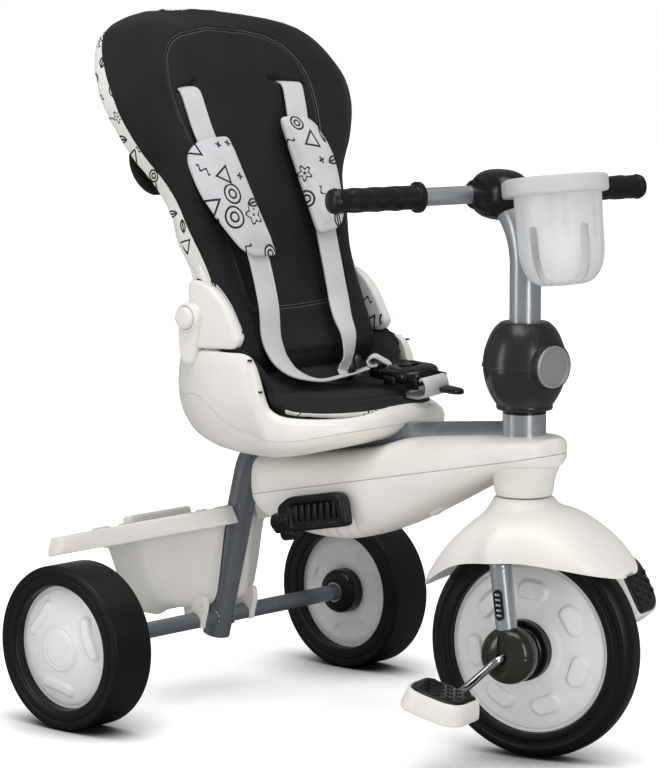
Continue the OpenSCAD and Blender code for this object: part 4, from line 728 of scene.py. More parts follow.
def insert_bars():
    """Light rungs in the dark inserts of the fork legs."""
    rungs = []
    for side in (-1, 1):
        for z in (150, 155, 160, 165, 170):
            rung = slab("rung", oblong(-2.7, -1.1, 2.7, 1.1, 1, 3), -0.5, 0.6, 0.3, 2)
            rungs.append(place(rung, shift(7.25 - (z - 160) * 0.117, side * 66.5, z) @ turn(-90 * side, "X")))
    fit(place(join("insert_rungs", *rungs), FORK), bar_steel, "fork", smooth=40)


GUARD_CREST = [(-1, 0), (-0.84, 0.32), (-0.65, 0.6), (-0.4, 0.85), (-0.25, 0.93), (0.1, 0.95), (0.33, 0.92),
               (0.54, 0.8), (0.72, 0.65), (0.9, 0.44), (1, 0.27)]
GUARD_EDGE = [(-1, -0.05), (-0.53, 0.27), (-0.24, 0.35), (0.1, 0.39), (0.55, 0.35), (0.9, 0.27), (1, 0.23)]


def guard_point(t, a, inset):
    x = 8 + 107 * t
    side = 58 * max(0, 1 - abs(t) ** 2.6) ** 0.5 + 8 + 11 * bell(x, 3, 18) - inset
    low = 167.5 + 91 * curve(t, GUARD_EDGE)
    high = max(164 + 91 * curve(t, GUARD_CREST) - inset, low + 3 - inset)
    y, z = side * cos(a), mix(low, high, max(0, sin(a)) ** 0.8)
    if inset == 0:
        rho = hypot(x, y)
        neck = 257 - 2.6 * max(0, rho - 28.6)
        k = max(0, 1 - abs(neck - z) / 17)
        z = min(257, max(z, neck) + 17 * k * k / 4)
    return Vector((x, y, z))


def mudguard():
    def shape(u, v):
        t = -cos(pi * v) if 0 < v < 1 else (-1 if v == 0 else 1)
        if u < 0.5:
            p = guard_point(t, pi * min(1, u / 0.48), 0)
            if u > 0.48:
                p.z -= 1.2
            return p
        return guard_point(t, pi * min(1, (1 - u) / 0.48), 3)
    shell = skin("mudguard_shell", shape, 150, 84)
    work(shell, "SMOOTH", factor=0.4, iterations=2)
    fit(place(shell, FORK), white_plastic, "fork", "mudguard", smooth=50)


fork_ends()
insert_bars()
mudguard()


# Steering ball, handlebar, grips and cup
def steering_ball():
    top = [(15.4, 42), (22.6, 42.2), (24, 41.6), (25.2, 40.6), (27, 39), (29.4, 36.6), (32.2, 32.6), (34.5, 28),
           (37.2, 21.5), (39.3, 15), (40.5, 8), (41, 3)]
    top += [(41.6, 1.2), (41.9, 0.4), (41.9, -0.9), (41.2, -1.6), (39, -1.6), (38, 4)]
    low = [(38, 2), (39, -1.4), (40.3, -1.8), (40.6, -4), (40.2, -8), (39.2, -13), (37.6, -19), (35.4, -25),
           (32.6, -30.5), (29.8, -35), (27.8, -38), (27.4, -38.6), (27.6, -39.4), (27.6, -41.8), (26.8, -43),
           (24, -43.4), (16, -43.4)]
    mid = BAR @ shift(0, 0, BALL_Z)
    boss = [(0, 20, 0), (23, 20, 0), (23, 41.4, 1.4), (21.6, 41.4, 0.8), (21.6, 33.4, 0), (0, 33.4, 0)]
    face = turn(8, "Z") @ shift(0, 0, 2) @ turn(90, "Y")
    for name, profile, node in (("ball_cap", top + [(15.4, 4), (15.4, 42)], "ball_upper"),
                                ("ball_base", low + [(16, 2), (38, 2)], "ball_lower")):
        pocket = place(turned("pocket", [(0, 26), (22.3, 26), (22.3, 60), (0, 60)], 96), face)
        fit(place(cut(turned(name, profile, 120), pocket), mid), dark_plastic, "handlebar", node, smooth=40)
    fit(place(lathe("button_seat", boss, 96), mid @ face), dark_plastic, "handlebar", smooth=40)
    button = [(0, 38.2, 0), (20.8, 38.2, 0), (20.8, 43, 1.4), (18.6, 44, 0.8), (17.6, 42.2, 0.8), (15.5, 42, 2),
              (8, 42.9, 4), (0, 43.2, 0)]
    fit(place(lathe("button_disc", button, 96), mid @ face), silver_plastic, "steer_button", "steer_button",
        smooth=40)


def bar_clamp():
    def shape(u, v):
        a, x = 2 * pi * u, -19 + 78 * (0.5 - 0.5 * cos(pi * v))
        w = (x - 20) / 39
        f = sqrt(max(0.0, 1 - abs(w) ** 2.6))
        y, z = 24.5 * f * power(cos(a), 0.8), (25.5 if sin(a) > 0 else 24) * f * power(sin(a), 0.9)
        return x, y, z
    egg = skin("clamp_body", shape, 96, 56)
    sleeve = [(9.1, 8, 0), (14.6, 8, 0), (14.6, 19, 3), (12.2, 22, 2), (9.1, 22.4, 0), (9.1, 8, 0)]
    collars = []
    for s in (-1, 1):
        ring = lathe("collar", sleeve, 64)
        collars.append(place(ring, turn(-90 * s, "X")))
    whole = join("clamp_body", egg, *collars)
    fit(place(whole, BAR @ shift(BAR_X, 0, BAR_Z)), black_plastic, "handlebar", "clamp", smooth=40)


def grips():
    def shape(u, v):
        a, l = 2 * pi * u, 100 * v
        r = 11.8 + 0.3 * sin(l / 100 * 2 * pi * 4.5) * ease(8, 16, l) * ease(94, 86, l)
        r += 0.3 * max(0, sin(a * 9) * sin(l / 3.1)) * ease(10, 14, l) * ease(90, 84, l)
        r = mix(r, 15.2, ease(93.4, 94.4, l)) - 2.2 * ease(98.4, 100, l) ** 2
        r = min(r, 9.2 + 3.7 * sqrt(min(1, max(0, l / 5)))) if l < 5 else r + 0.9 * ease(10, 5, l)
        if v == 0:
            r = 0
        if v == 1:
            r = 9.05
        return r * cos(a), r * sin(a), 181 - 1.02 * l
    grip = skin("grip", shape, 90, 110)
    both = [place(grip, turn(90, "X"))]
    both.append(twin(both[0], "grip", turn(180, "Z")))
    fit(place(join("grip_sleeves", *both), BAR @ shift(BAR_X, 0, BAR_Z)), grip_rubber, "handlebar", "grips",
        smooth=60)


def cup():
    def wall(u, v):
        a = 2 * pi * u
        if v < 0.62:
            z, r = -68 * v / 0.62, 42.6 - 2.2 * v
        else:
            b = pi / 2 * (v - 0.62) / 0.38
            z, r = -68 - 36 * sin(b), 41.2 * (0.26 + 0.74 * max(0, cos(b)) ** 0.7) if v < 1 else 0
        flute = ease(-66, -60, z) * ease(-8, -16, z)
        for k in range(5):
            for off in (-11, 11):
                d = (a - radians(36 + 72 * k + off) + pi) % (2 * pi) - pi
                r -= 1.7 * bell(d, 0, radians(4.2)) * flute
        return r * cos(a), r * sin(a), z
    vessel = skin("cup_vessel", wall, 160, 70, fill=False)
    work(vessel, "SOLIDIFY", thickness=2.4, offset=-1)
    for k in range(5):
        tool = slab("slot", rounded([(-4.9, -47, 4.8), (4.9, -47, 4.8), (5.6, -112, 0.1), (-5.6, -112, 0.1)]), 14,
                    60)
        place(tool, turn(72 * k, "Z") @ turn(90, "Z") @ turn(90, "X"))
        cut(vessel, tool)

    def reach(a):
        """Outline of the rim: the cup's circle drawn together with a smaller one at the clamp."""
        if abs(a) < radians(117.6):
            return 49.5
        if abs(a) < radians(154.7):
            return 49.5 / cos(abs(a) - radians(117.6))
        return min(-42 * cos(a) + sqrt((42 * cos(a)) ** 2 - 864), -66.5 / cos(a))

    def band(u, v):
        a = 2 * pi * u - pi
        section = rounded([(41.6, 0, 4.2), (reach(a), 0, 4.2), (reach(a), -17, 4.2), (41.6, -17, 4.2)])
        r, z = section[round(v * len(section)) % len(section)]
        return r * cos(a), r * sin(a), z
    rim = skin("cup_rim", band, 160, 28, fill=False)
    whole = join("cup_body", vessel, rim)
    place(whole, shift(52, 0, 571.8) @ turn(-8.5, "Y"))
    fit(place(whole, BAR), cup_plastic, "handlebar", "cup_holder", smooth=40)


steering_ball()
bar_clamp()
grips()
cup()


# Body covers
COVER_TOP = [(0, 0.2), (0.14, 0.33), (0.3, 0.44), (0.43, 0.57), (0.55, 0.77), (0.71, 0.9), (0.89, 1), (1, 1)]
COVER_LOW = [(0, 0.45), (0.03, 0.31), (0.1, 0.13), (0.18, 0.03), (0.35, 0), (0.48, 0.15), (0.61, 0.39),
             (0.74, 0.66), (0.83, 0.84), (0.9, 0.94), (1, 1)]


def cover_hull(name):
    def shape(u, v):
        t = v / 0.8 * 0.88 if v < 0.8 else 0.88 + 0.12 * sin(pi / 2 * (v - 0.8) / 0.2)
        x = mix(74, 452.3, t)
        share = (x - 62) / 390.6
        top, low = 317.4 - 66 * (1 - curve(share, COVER_TOP)), 191.4 + 98 * curve(share, COVER_LOW)
        side = mix(52, 41.6, max(0, share) ** 1.5)
        side *= sqrt(max(0, 1 - max(0, (x - STEER_X) / 41.6) ** 2)) * sqrt(max(0,
                                                                               1 - 0.75 * max(0,
                                                                                              1
                                                                                              - (x
                                                                                                 - 74) / 34) ** 2))
        a = 2 * pi * u
        y, z = side * power(cos(a), 0.625), (top + low) / 2 + (top - low) / 2 * power(sin(a), 0.625)
        # shallow ribs of the lower panel
        down = ease(226, 212, z) * ease(168, 174, x) * ease(242, 236, x)
        ribs = max(0, sin((x - 132 - 0.2 * (z - 200)) / 13 * 2 * pi)) * min(1, abs(y) / 20)
        y -= (1 if y > 0 else -1) * 1.8 * down * ribs
        return x, y, z
    return skin(name, shape, 160, 170)


def covers():
    for name, node, sign in (("cover_top", "cover_upper", 1), ("cover_base", "cover_lower", -1)):
        hull = cover_hull(name)
        lean = radians(SEAM_LEAN)
        edit(hull, bpy.ops.mesh.bisect, plane_co=(STEER_X, 0, 293.2 + 0.25 * sign),
             plane_no=(-sin(lean) * sign, 0, cos(lean) * sign), use_fill=True, clear_inner=True)
        work(hull, "BEVEL", width=0.8, segments=2, limit_method="ANGLE", angle_limit=radians(60))
        if sign < 0:
            collar = lathe("collar", [(22, 258, 0), (27.4, 258, 2), (29.2, 264, 6), (30.4, 276, 12), (36, 288, 10),
                                      (30, 296, 0), (22, 296, 0)], 96)
            place(collar, shift(STEER_X, 0, 0))
            foot = slab("foot", oblong(-13, -7, 7, 7, 4), 0, 10, 2.5)
            place(foot, shift(306, 0, 230) @ turn(-33, "Y"))
            hull = join(name, hull, collar, foot)
        fit(place(hull, TRIKE), white_plastic, "frame", node, smooth=32)


covers()


# Seat base, hinge posts, ears and hub buttons
SEAT_RIM = [(-1, 0.92), (-0.6, 0.98), (0, 1), (0.12, 1), (0.2, 0.965), (0.245, 0.875), (0.31, 0.65), (0.355, 0.53),
            (0.46, 0.455), (0.6, 0.435), (0.8, 0.435), (0.93, 0.455), (1, 0.52)]
SEAT_WALL = [(0, 0.52), (0.035, 0.65), (0.08, 0.745), (0.18, 0.86), (0.3, 0.93), (0.45, 0.98), (0.65, 1),
             (0.92, 0.985), (1, 0.96)]
SEAT_LINE = [(-1, 334), (-0.55, 335), (-0.45, 338), (-0.32, 336.5), (-0.2, 327), (0.02, 310.5), (0.34, 300.5),
             (0.54, 300.6), (0.9, 311), (1, 314)]
SEAT_LONG = 134


def seat_axes(a):
    return power(cos(a), 2 / 2.3), power(sin(a), 2 / 2.3)


def seat_rim_z(cx):
    return SEAT_LOW + SEAT_TALL * curve(cx, SEAT_RIM)


def seat_base():
    rows = [("low", (i / 12) ** 1.6) for i in range(13)]
    rows += [("line", k) for k in (-1, 0, 1)]
    rows += [("high", i / 14) for i in range(1, 15)]
    rows += [("rim", k) for k in ((1.0, 1.3), (2.4, 2.3), (4, 2.7), (5.4, 2.3), (6.6, 1.2))]
    rows += [("in", k) for k in (0, 0.2, 0.5, 0.8, 1)]

    def shape(u, v):
        kind, k = rows[round(v * (len(rows) - 1))]
        cx, cy = seat_axes(2 * pi * u)
        low, high = SEAT_LOW + 18 * max(0, cx) ** 2, seat_rim_z(cx)
        line = (curve(cx, SEAT_LINE) - low) / (high - low)
        line = min(0.86, max(0.2, line))
        step = 1.1 / (high - low)
        inset = 0
        if kind == "low":
            t = k * (line - 2 * step)
        elif kind == "line":
            t, inset = line + k * step, 1.3 if k == 0 else 0
        elif kind == "high":
            t = mix(line + 2 * step, 1, k)
        else:
            t = 1
        share = curve(t, SEAT_WALL)
        z = mix(low, high, t)
        if kind == "rim":
            inset, z = k[0], high + k[1]
        if kind == "in":
            share, inset = mix(0.985, 1, k), 11
            z = mix(high, min(high, 316), k)
        x = SEAT_X + (SEAT_LONG - inset) * share * cx
        if kind == "in":
            x = max(x, 62 - 20 * (1 - k))
        return x, (SEAT_SIDE - inset) * share * cy, z
    shell = skin("seat_bucket", shape, 200, len(rows) - 1)
    parts = [shell]
    for s in (-1, 1):
        outline = rounded([(62, 368, 6), (78, 368, 8), (80, 382, 10), (86, 404, 10), (88, 426, 14), (74, 432, 14),
                           (60, 427, 12), (57, 404, 8), (58, 382, 10)])
        parts.append(close_up(fin("post", outline, 9, 4.5, 4, shift(0, s * 112.5, 0)), fill=False))
    dots = []
    for s in (-1, 1):
        for x in (156, 168):
            dot = lathe("snap", [(0, 0, 0), (2.6, 0, 0), (2.4, 1.6, 0.7), (0, 1.9, 0)], 16)
            cx = (x - SEAT_X) / SEAT_SIDE
            y = 121.5 * (1 - abs(cx) ** 2.3) ** (1 / 2.3) - 1.5
            dots.append(place(dot, shift(x, s * y, seat_rim_z(cx) + 1.6)))
    fit(place(join("seat_bucket", *parts), TRIKE), white_plastic, "frame", "seat_base", smooth=34)
    fit(place(join("cover_snaps", *dots), TRIKE), black_plastic, "frame")


def hub_buttons():
    profile = [(0, 0, 0), (11.4, 0, 0), (11.4, 12.4, 1.2), (9.6, 15, 2.6), (5, 15.6, 3), (0, 15.7, 0)]
    ring = [(11.9, -4, 0), (14.8, -4, 0), (14.8, 8.6, 2), (13, 10.2, 1.2), (11.9, 9.8, 0.5), (11.9, -4, 0)]
    for side, word in SIDES:
        at = TRIKE @ shift(72, 0, 415.3) @ beside(side, 114.5)
        name = "recline_button_" + word
        fit(place(lathe(name + "_cap", profile, 64), at), white_plastic, name, name)
        fit(place(lathe("hinge_ring_" + word, ring, 64), at), white_plastic, "frame")


BACK_SHARES = [(0, 0.6), (0.15, 0.6), (0.29, 0.62), (0.41, 0.7), (0.52, 0.79), (0.6, 0.9), (0.68, 0.98), (0.74, 1),
               (0.79, 0.985), (0.85, 0.92), (0.9, 0.81), (0.945, 0.63), (0.975, 0.44), (0.993, 0.24), (1, 0.06)]


def back_half(s):
    return BACK_SIDE * curve((s + 26) / 401, BACK_SHARES)


def back_sway(y, s):
    return 14 * (y / BACK_SIDE) ** 2 - 24 * max(0, (s - 270) / 105) ** 2


def back_rows(low, high, rows):
    return [mix(low, high, (u / 0.82 * 0.8 if u < 0.82 else 0.8 + 0.2 * sin(pi / 2 * (u - 0.82) / 0.18)))
            for u in [j / rows for j in range(rows + 1)]]


def back_shell():
    rings = []
    for s in back_rows(-13, 371, 70):
        half = max(2, back_half(min(s, 374)) - 3 - 14 * ease(118, 158, s))
        ring = []
        for i in range(72):
            a = 2 * pi * i / 72
            f, y = power(sin(a), 2 / 3.4), -half * power(cos(a), 2 / 3.4)
            x = -0.6 if f > 0 else -0.6 + 13.4 * f
            if f < -0.5:
                # pressed panel with two stiffening ribs behind
                inner = ease(half - 14, half - 24, abs(y)) * ease(120, 134, s) * ease(352, 338, s)
                x += inner * (7 - 5.5 * max(bell(abs(y), 46, 5), bell(s, 236, 5)))
            ring.append((x + back_sway(y, s), y, s))
        rings.append(ring)
    plate = place(loft("back_plate", rings), BACK)
    parts = [plate]
    for s in (-1, 1):
        outline = rounded([(73, 384, 6), (131, 387, 5), (138.5, 396.4, 7), (129, 414, 20), (119, 430, 16),
                           (104, 445, 18), (84, 453, 14), (69, 453, 6), (67, 442, 6)], steps=8)
        parts.append(fin("ear", outline, 6, 4, 5, TRIKE @ shift(0, s * 111, 0)))
        outline = rounded([(80, 430, 6), (96, 440, 10), (84, 464, 16), (72, 484, 8), (64, 488, 4), (66, 462, 14)],
                          steps=8)
        parts.append(fin("wing", outline, 6, 4, 4, TRIKE @ shift(0, s * 106, 0)))
    fit(join("back_plate", *parts), white_plastic, "backrest", "back_shell", smooth=36)


def ear_linings():
    """Printed cloth of the cover, laid on the inner faces of the ears."""
    edge = even(rounded([(84, 388, 6), (128, 389, 5), (136.5, 397, 7), (127, 415, 20), (117, 431, 16),
                         (102, 446, 18), (86, 456, 10)], steps=8), 60)
    linings = []
    for s in (-1, 1):
        rings = [[Vector((x, 0, z)).lerp(Vector((108, 0, 416)), 1 - k) + Vector((0, s * y, 0)) for x,
                  z in edge] for k, y in ((0.2, 105.2), (0.985, 105.2), (1, 104.4), (0.985, 103.6), (0.9, 103.2),
                                          (0.2, 103))]
        lining = loft("lining", rings)
        lay_flat(lining, lambda co: (co.x, co.z))
        linings.append(lining)
    ob = place(join("ear_linings", *linings), TRIKE)
    fit(ob, print_cloth, "backrest", smooth=60)


def back_spine():
    def shape(u, v):
        a, w = 2 * pi * u, 2 * v - 1
        s, swell = mix(178, 236, v), sqrt(max(0.02, 1 - 0.96 * w * w))
        f, y = power(sin(a), 2 / 3), -141 * (0.8 + 0.2 * swell) * power(cos(a), 2 / 3)
        depth = 10 * swell * (1 + 0.12 * bell(abs(y), 60, 26) - 0.12 * bell(y, 0, 30))
        return -16.4 + (f * depth if f < 0 else 0) + back_sway(y, s), y, s
    spine = skin("back_bridge", shape, 96, 40)
    fit(place(spine, BACK), dark_plastic, "backrest", "back_spine", smooth=40)


seat_base()
hub_buttons()
back_shell()
back_spine()


# Bin and footrests
def bin_edge(a, inset):
    """Rim outline seen from above, cast from the tub's middle."""
    x0, x1, front, rear = -108 + inset, 40 - inset, 24 - inset / 2, 158 - inset
    d = Vector((cos(a), sin(a)))
    best = 1e9
    corners = [(x0, -rear), (x0, rear), (x0 + 34, rear), (x1, front), (x1, -front), (x0 + 34, -rear)]
    for (ax, ay), (bx, by) in zip(corners, corners[1:] + corners[:1]):
        ex, ey = bx - ax, by - ay
        det = d.x * -ey + ex * d.y
        if abs(det) < 1e-9:
            continue
        qx, qy = ax - BIN_X, ay
        t = (qx * -ey + ex * qy) / det
        k = (d.x * qy - d.y * qx) / det
        if t > 0 and -1e-6 <= k <= 1 + 1e-6:
            best = min(best, t)
    return best * d.x + BIN_X, best * d.y


def bin_tub():
    tub = [(0, 0.62), (0.06, 0.72), (0.2, 0.8), (1, 1)]
    n = 160

    def ring(t, inset):
        out = []
        for i in range(n):
            a = 2 * pi * i / n
            cx, cy = power(cos(a), 2 / 3.2), power(sin(a), 2 / 3.2)
            share = curve(t, tub)
            x = BIN_X + (56 * share - inset) * cx
            z = 98.5 + 74 * t + (x - BIN_X) * BIN_SLOPE * t - 9 * ease(-14, -34, x) * (1 - t)
            y = (98 * share - inset) * cy * (1 - 0.12 * cx)
            ex, ey = bin_edge(atan2(y, x - BIN_X), 13)
            most = min(1, hypot(ex - BIN_X, ey) * (0.45 + 0.55 * share) / max(1e-6, hypot(x - BIN_X, y)))
            out.append((BIN_X + (x - BIN_X) * most, y * most, z))
        return out

    def rim(inset, z):
        flat = [bin_edge(atan2(y, x - BIN_X), inset) for x, y, _ in ring(1, 0)]
        for _ in range(14):
            flat = [((flat[i - 1][0] + 2 * flat[i][0] + flat[(i + 1) % n][0]) / 4,
                     (flat[i - 1][1] + 2 * flat[i][1] + flat[(i + 1) % n][1]) / 4) for i in range(n)]
        tip = radians(BIN_TIP)
        return [(BIN_X + (x - BIN_X) * cos(tip) - z * sin(tip), y,
                 BIN_RIM + (x - BIN_X) * sin(tip) + z * cos(tip)) for x, y in flat]
    outer = [ring(t, 0) for t in (0, 0.02, 0.05, 0.1, 0.16, 0.24, 0.35, 0.5, 0.65, 0.8, 0.95)]
    lip = [rim(inset, z) for inset, z in ((3, -17.5), (0.6, -18.6), (-1, -19), (-2, -18), (-1, -12), (1.2, -5),
                                          (2.2, -1.2), (4, 0), (8, 0.2))]
    inner = [ring(t, 3) for t in (1.12, 1.0, 0.8, 0.6, 0.4, 0.2, 0.1, 0.06, 0.04)]
    inner[0] = [(x, y, BIN_RIM + (x - BIN_X) * BIN_SLOPE - 0.5) for x, y, z in inner[0]]
    under = [rim(5, -4)]
    tub_ob = loft("bin_tub", outer + under + lip + inner)
    lean = radians(LEG_LEAN)
    tube = pipe("tube", [(BEND_X + k * sin(lean), 0, BEND_Z + k * cos(lean)) for k in (-300, 60)], 15.6, 48)
    cut(tub_ob, tube)
    slot = slab("slot", [(0, -15.6), (120, -15.6), (120, 15.6), (0, 15.6)], -260, 40)
    place(slot, shift(BEND_X, 0, BEND_Z) @ turn(LEG_LEAN, "Y"))
    cut(tub_ob, slot)
    parts = [tub_ob]
    for s in (-1, 1):
        outline = rounded([(-17, 110, 4), (14, 112, 4), (16, 100, 4), (11.5, 84, 3), (10, 76, 2), (8.7, 79, 0.5),
                           (8.7, 88, 3), (0, 92.7, 6), (-8.7, 88, 3), (-8.7, 79, 0.5), (-11, 76, 2), (-13, 86, 3)],
                          steps=4)
        parts.append(close_up(fin("hook", outline, 3.5, 0.9, 2, shift(0, s * 37, 0)), fill=False))
    handle = slab("handle", oblong(-8, -46, 8, 46, 6), -2, 9, 3.5, 4)
    hollow = slab("hollow", oblong(-4, -40, 4, 40, 3), 4, 20)
    cut(handle, hollow)
    place(handle, shift(BIN_X, 0, BIN_RIM) @ turn(-BIN_TIP, "Y") @ shift(-60, 0, 0))
    parts.append(handle)
    for y, long in ((-92, 22), (-58, 14), (92, 22), (58, 14)):
        rib = slab("rib", oblong(-3, -long / 2, 3, long / 2, 2), -2, 2.4, 1, 2)
        place(rib, shift(BIN_X, 0, BIN_RIM) @ turn(-BIN_TIP, "Y") @ shift(-52, y, 0))
        parts.append(rib)
    fit(place(join("bin_body", *parts), TRIKE), white_plastic, "bin", "bin", smooth=38)


def footrests():
    outline = rounded([(-36, -6, 4), (54, -6, 5), (55, 29.5, 16), (-20, 30, 8), (-38, 21, 7)], steps=7)
    plate = slab("plate", outline, -5.2, 6.4)
    recess = slab("recess", rounded([(-19, 0, 4), (44, 0, 4), (44, 21.5, 9), (-19, 21.5, 4)], steps=6), 2.6, 12)
    cut(plate, recess)
    work(plate, "BEVEL", width=2.2, segments=4, limit_method="ANGLE", angle_limit=radians(50))
    parts = [plate]
    for i in range(7):
        x = -14 + i * 8.8
        rib = slab("rib", [(x - 2.2, 0.5), (x + 1.4, 0.5), (x + 3.6, 21), (x, 21)], 0, 5.4, 1.3, 3)
        parts.append(rib)
    for x0, x1, z, r in ((-47, -23, 6, 9.4), (-47, 53, 0, 5.8), (-38, -20, -7, 6.8)):
        knuckle = lathe("knuckle", [(0, x0, 0), (r, x0, 2), (r, x1, 2), (0, x1, 0)], 40)
        parts.append(place(knuckle, shift(0, z, 0) @ turn(90, "Y")))
    lug = parts.pop()
    for x in (-42, -36, -30):
        pin = lathe("pin", [(0, 6, 0), (1.7, 6, 0), (1.7, 9.6, 0.8), (0, 9.8, 0)], 14)
        parts.append(place(pin, shift(x, 9, 0)))
    whole = join("footrest", *parts)
    for side, word in SIDES:
        at = TRIKE @ shift(182, side * 58.5, 209.64) @ turn(-SEAM_LEAN, "Y")
        at = at @ Matrix.Scale(-side, 4, (0, 1, 0)) @ turn(90, "X")
        for model, name, body in ((whole, "step", "footrest_" + word), (lug, "lug", "frame")):
            ob = twin(model, "footrest_" + word + "_" + name, at)
            if side > 0:
                edit(ob, bpy.ops.mesh.flip_normals)
            fit(ob, black_plastic, body, *([body] if body != "frame" else []), smooth=36)
    discard(whole, lug)


def weld_beads():
    """Beads where the axle tube goes through the leg."""
    beads = []
    for s in (-1, 1):
        route = []
        for k in range(49):
            a = 2 * pi * k / 48
            d = 8.5 * cos(a + radians(LEG_LEAN))
            route.append((8.7 * cos(a), s * sqrt(14.3 ** 2 - d * d), REAR_R + 8.7 * sin(a)))
        beads.append(pipe("bead", route, lambda t: 2.1 + 0.45 * sin(t * 2 * pi * 11), 12, closed=True))
    fit(place(join("weld_beads", *beads), TRIKE), painted_steel, "frame", smooth=60)


bin_tub()
footrests()
weld_beads()


# Cloth finishes
def line_motifs():
    """Scattered line drawings on a cloth: rings, leaves, triangles, blooms, waves and crosses, one to a cell."""
    tree, given, out = group("line motifs", {"Vector": ("Vector", None), "Line": ("Float", 0.05)},
                             {"Mask": "Float"})
    cell = put(tree, "ShaderNodeTexVoronoi", {"Vector": given["Vector"], "Scale": 1.0, "Randomness": 0.62},
               voronoi_dimensions="2D")
    local = put(tree, "ShaderNodeVectorMath", {0: given["Vector"], 1: cell.outputs["Position"]},
                operation="SUBTRACT").outputs[0]
    rand = put(tree, "ShaderNodeSeparateColor", {0: cell.outputs["Color"]}).outputs
    spun = put(tree, "ShaderNodeVectorRotate", {"Vector": local, "Angle": times(tree, rand[0], 6.28)},
               rotation_type="Z_AXIS").outputs[0]
    xyz = put(tree, "ShaderNodeSeparateXYZ", {0: spun}).outputs
    x, y = xyz[0], xyz[1]
    size = plus(tree, 0.26, times(tree, rand[1], 0.14))
    ax, ay = sums(tree, "ABSOLUTE", x), sums(tree, "ABSOLUTE", y)
    far = sums(tree, "SQRT", plus(tree, times(tree, x, x), times(tree, y, y)))

    def stroke(distance):
        return sums(tree, "LESS_THAN", sums(tree, "ABSOLUTE", distance), given["Line"])

    def within(value, most):
        return sums(tree, "LESS_THAN", value, most)
    ring = sums(tree, "MAXIMUM", stroke(less(tree, far, size)), stroke(less(tree, far, times(tree, size, 0.45))))
    lens = less(tree, sums(tree, "SQRT", plus(tree, times(tree, x, x),
                                              sums(tree, "POWER", plus(tree, ay, 0.3), 2.0))), 0.44)
    leaf = sums(tree, "MAXIMUM", stroke(lens), times(tree, stroke(y), within(ax, 0.3)))
    slant = plus(tree, times(tree, ax, 0.866), times(tree, y, 0.5))
    triangle = stroke(less(tree, sums(tree, "MAXIMUM", slant, times(tree, y, -1.0)), times(tree, size, 0.62)))
    angle = sums(tree, "ARCTAN2", y, x)
    petal = plus(tree, times(tree, size, 0.78), times(tree, sums(tree, "COSINE", times(tree, angle, 5.0)), 0.075))
    bloom = sums(tree, "MAXIMUM", stroke(less(tree, far, petal)), within(far, 0.06))
    ripple = times(tree, sums(tree, "SINE", times(tree, x, 17.0)), 0.08)
    wave = times(tree, stroke(less(tree, y, ripple)), within(ax, 0.34))
    cross = times(tree, sums(tree, "MAXIMUM", stroke(x), stroke(y)), within(far, 0.15))
    chosen = sums(tree, "FLOOR", times(tree, rand[2], 6.0))
    total = 0.0
    for k, motif in enumerate((ring, leaf, triangle, bloom, wave, cross)):
        total = plus(tree, total, times(tree, motif, sums(tree, "COMPARE", chosen, float(k), 0.4)))
    tree.links.new(sums(tree, "MINIMUM", total, 1.0), out["Mask"])
    return tree


MOTIFS = line_motifs()


def cloth(name, slot, colour, printed=None, scale=0.045, threads=1.1, rough=0.82, sheen=0.25, ribbed=False,
          uv=False):
    """Woven cloth. Printed all over, or only where the named attribute is high."""
    m, tree, shader = blank(name, slot)
    coords = put(tree, "ShaderNodeTexCoord").outputs
    here = coords["Object"]
    flat = edge = coords["UV"]
    if not uv:
        laid = put(tree, "ShaderNodeMapping", {"Vector": here, "Rotation": (0, radians(BACK_LEAN), 0),
                                               "Scale": (1000, 1000, 1000)}).outputs[0]
        xyz = put(tree, "ShaderNodeSeparateXYZ", {0: laid}).outputs
        side = less(tree, times(tree, xyz[0], 0.9), sums(tree, "ABSOLUTE", xyz[1]))
        flat = put(tree, "ShaderNodeCombineXYZ", {0: xyz[1], 1: xyz[2]}).outputs[0]
        edge = put(tree, "ShaderNodeCombineXYZ", {0: side, 1: xyz[2]}).outputs[0]
    weave = use(tree, WEAVE, Vector=flat, Across=threads, Along=threads * (0.45 if ribbed else 1.0))
    slow = speckle(tree, here, 22.0, 4.0, 0.6)
    base = tint(colour)
    deep = tuple(c * 0.8 for c in base[:3]) + (1.0,)
    pale = tuple(min(1, c * 1.1 + 0.004) for c in base[:3]) + (1.0,)
    shade = blend_tint(tree, ramp(tree, slow, 0.35, 0.65, 0.0, 1.0), base, pale)
    # painted shade: the cloth's colour is darker in the gaps between its threads
    shade = blend_tint(tree, ramp(tree, weave["Gap"], 0.0, 0.35, 0.55, 0.0), shade, deep)
    if printed:
        spot = put(tree, "ShaderNodeMapping", {"Vector": edge, "Scale": (scale,) * 3}).outputs[0]
        ink = use(tree, MOTIFS, Vector=spot, Line=0.042)["Mask"]
        if printed == "all":
            shade = blend_tint(tree, ink, shade, tint("#26272a"))
        else:
            zone = put(tree, "ShaderNodeAttribute", attribute_name=printed).outputs["Fac"]
            paper = blend_tint(tree, ink, tint("#cbc9c4"), tint("#26272a"))
            seam = sums(tree, "ABSOLUTE", put(tree, "ShaderNodeAttribute", attribute_name="seam").outputs["Fac"])
            # painted highlight: a lighter line about 1.5 mm beside the seam; painted shade: the seam's groove
            # within 0.8 mm is darkened to near black
            shade = blend_tint(tree, sums(tree, "COMPARE", seam, 1.5, 0.45), shade, tint("#4a4a49"))
            shade = blend_tint(tree, sums(tree, "LESS_THAN", seam, 0.8), shade, tint("#060606"))
            shade = blend_tint(tree, sums(tree, "GREATER_THAN", zone, 0.5), shade, paper)
    tree.links.new(shade, shader.inputs["Base Color"])
    tree.links.new(plus(tree, rough - 0.06, times(tree, weave["Height"], 0.12)), shader.inputs["Roughness"])
    bumps = put(tree, "ShaderNodeBump", {"Height": weave["Height"], "Strength": 0.4, "Distance": 0.00025})
    tree.links.new(bumps.outputs[0], shader.inputs["Normal"])
    shader.inputs["Sheen Weight"].default_value = sheen
    shader.inputs["Sheen Roughness"].default_value = 0.5
    shader.inputs["Specular IOR Level"].default_value = 0.25
    return m


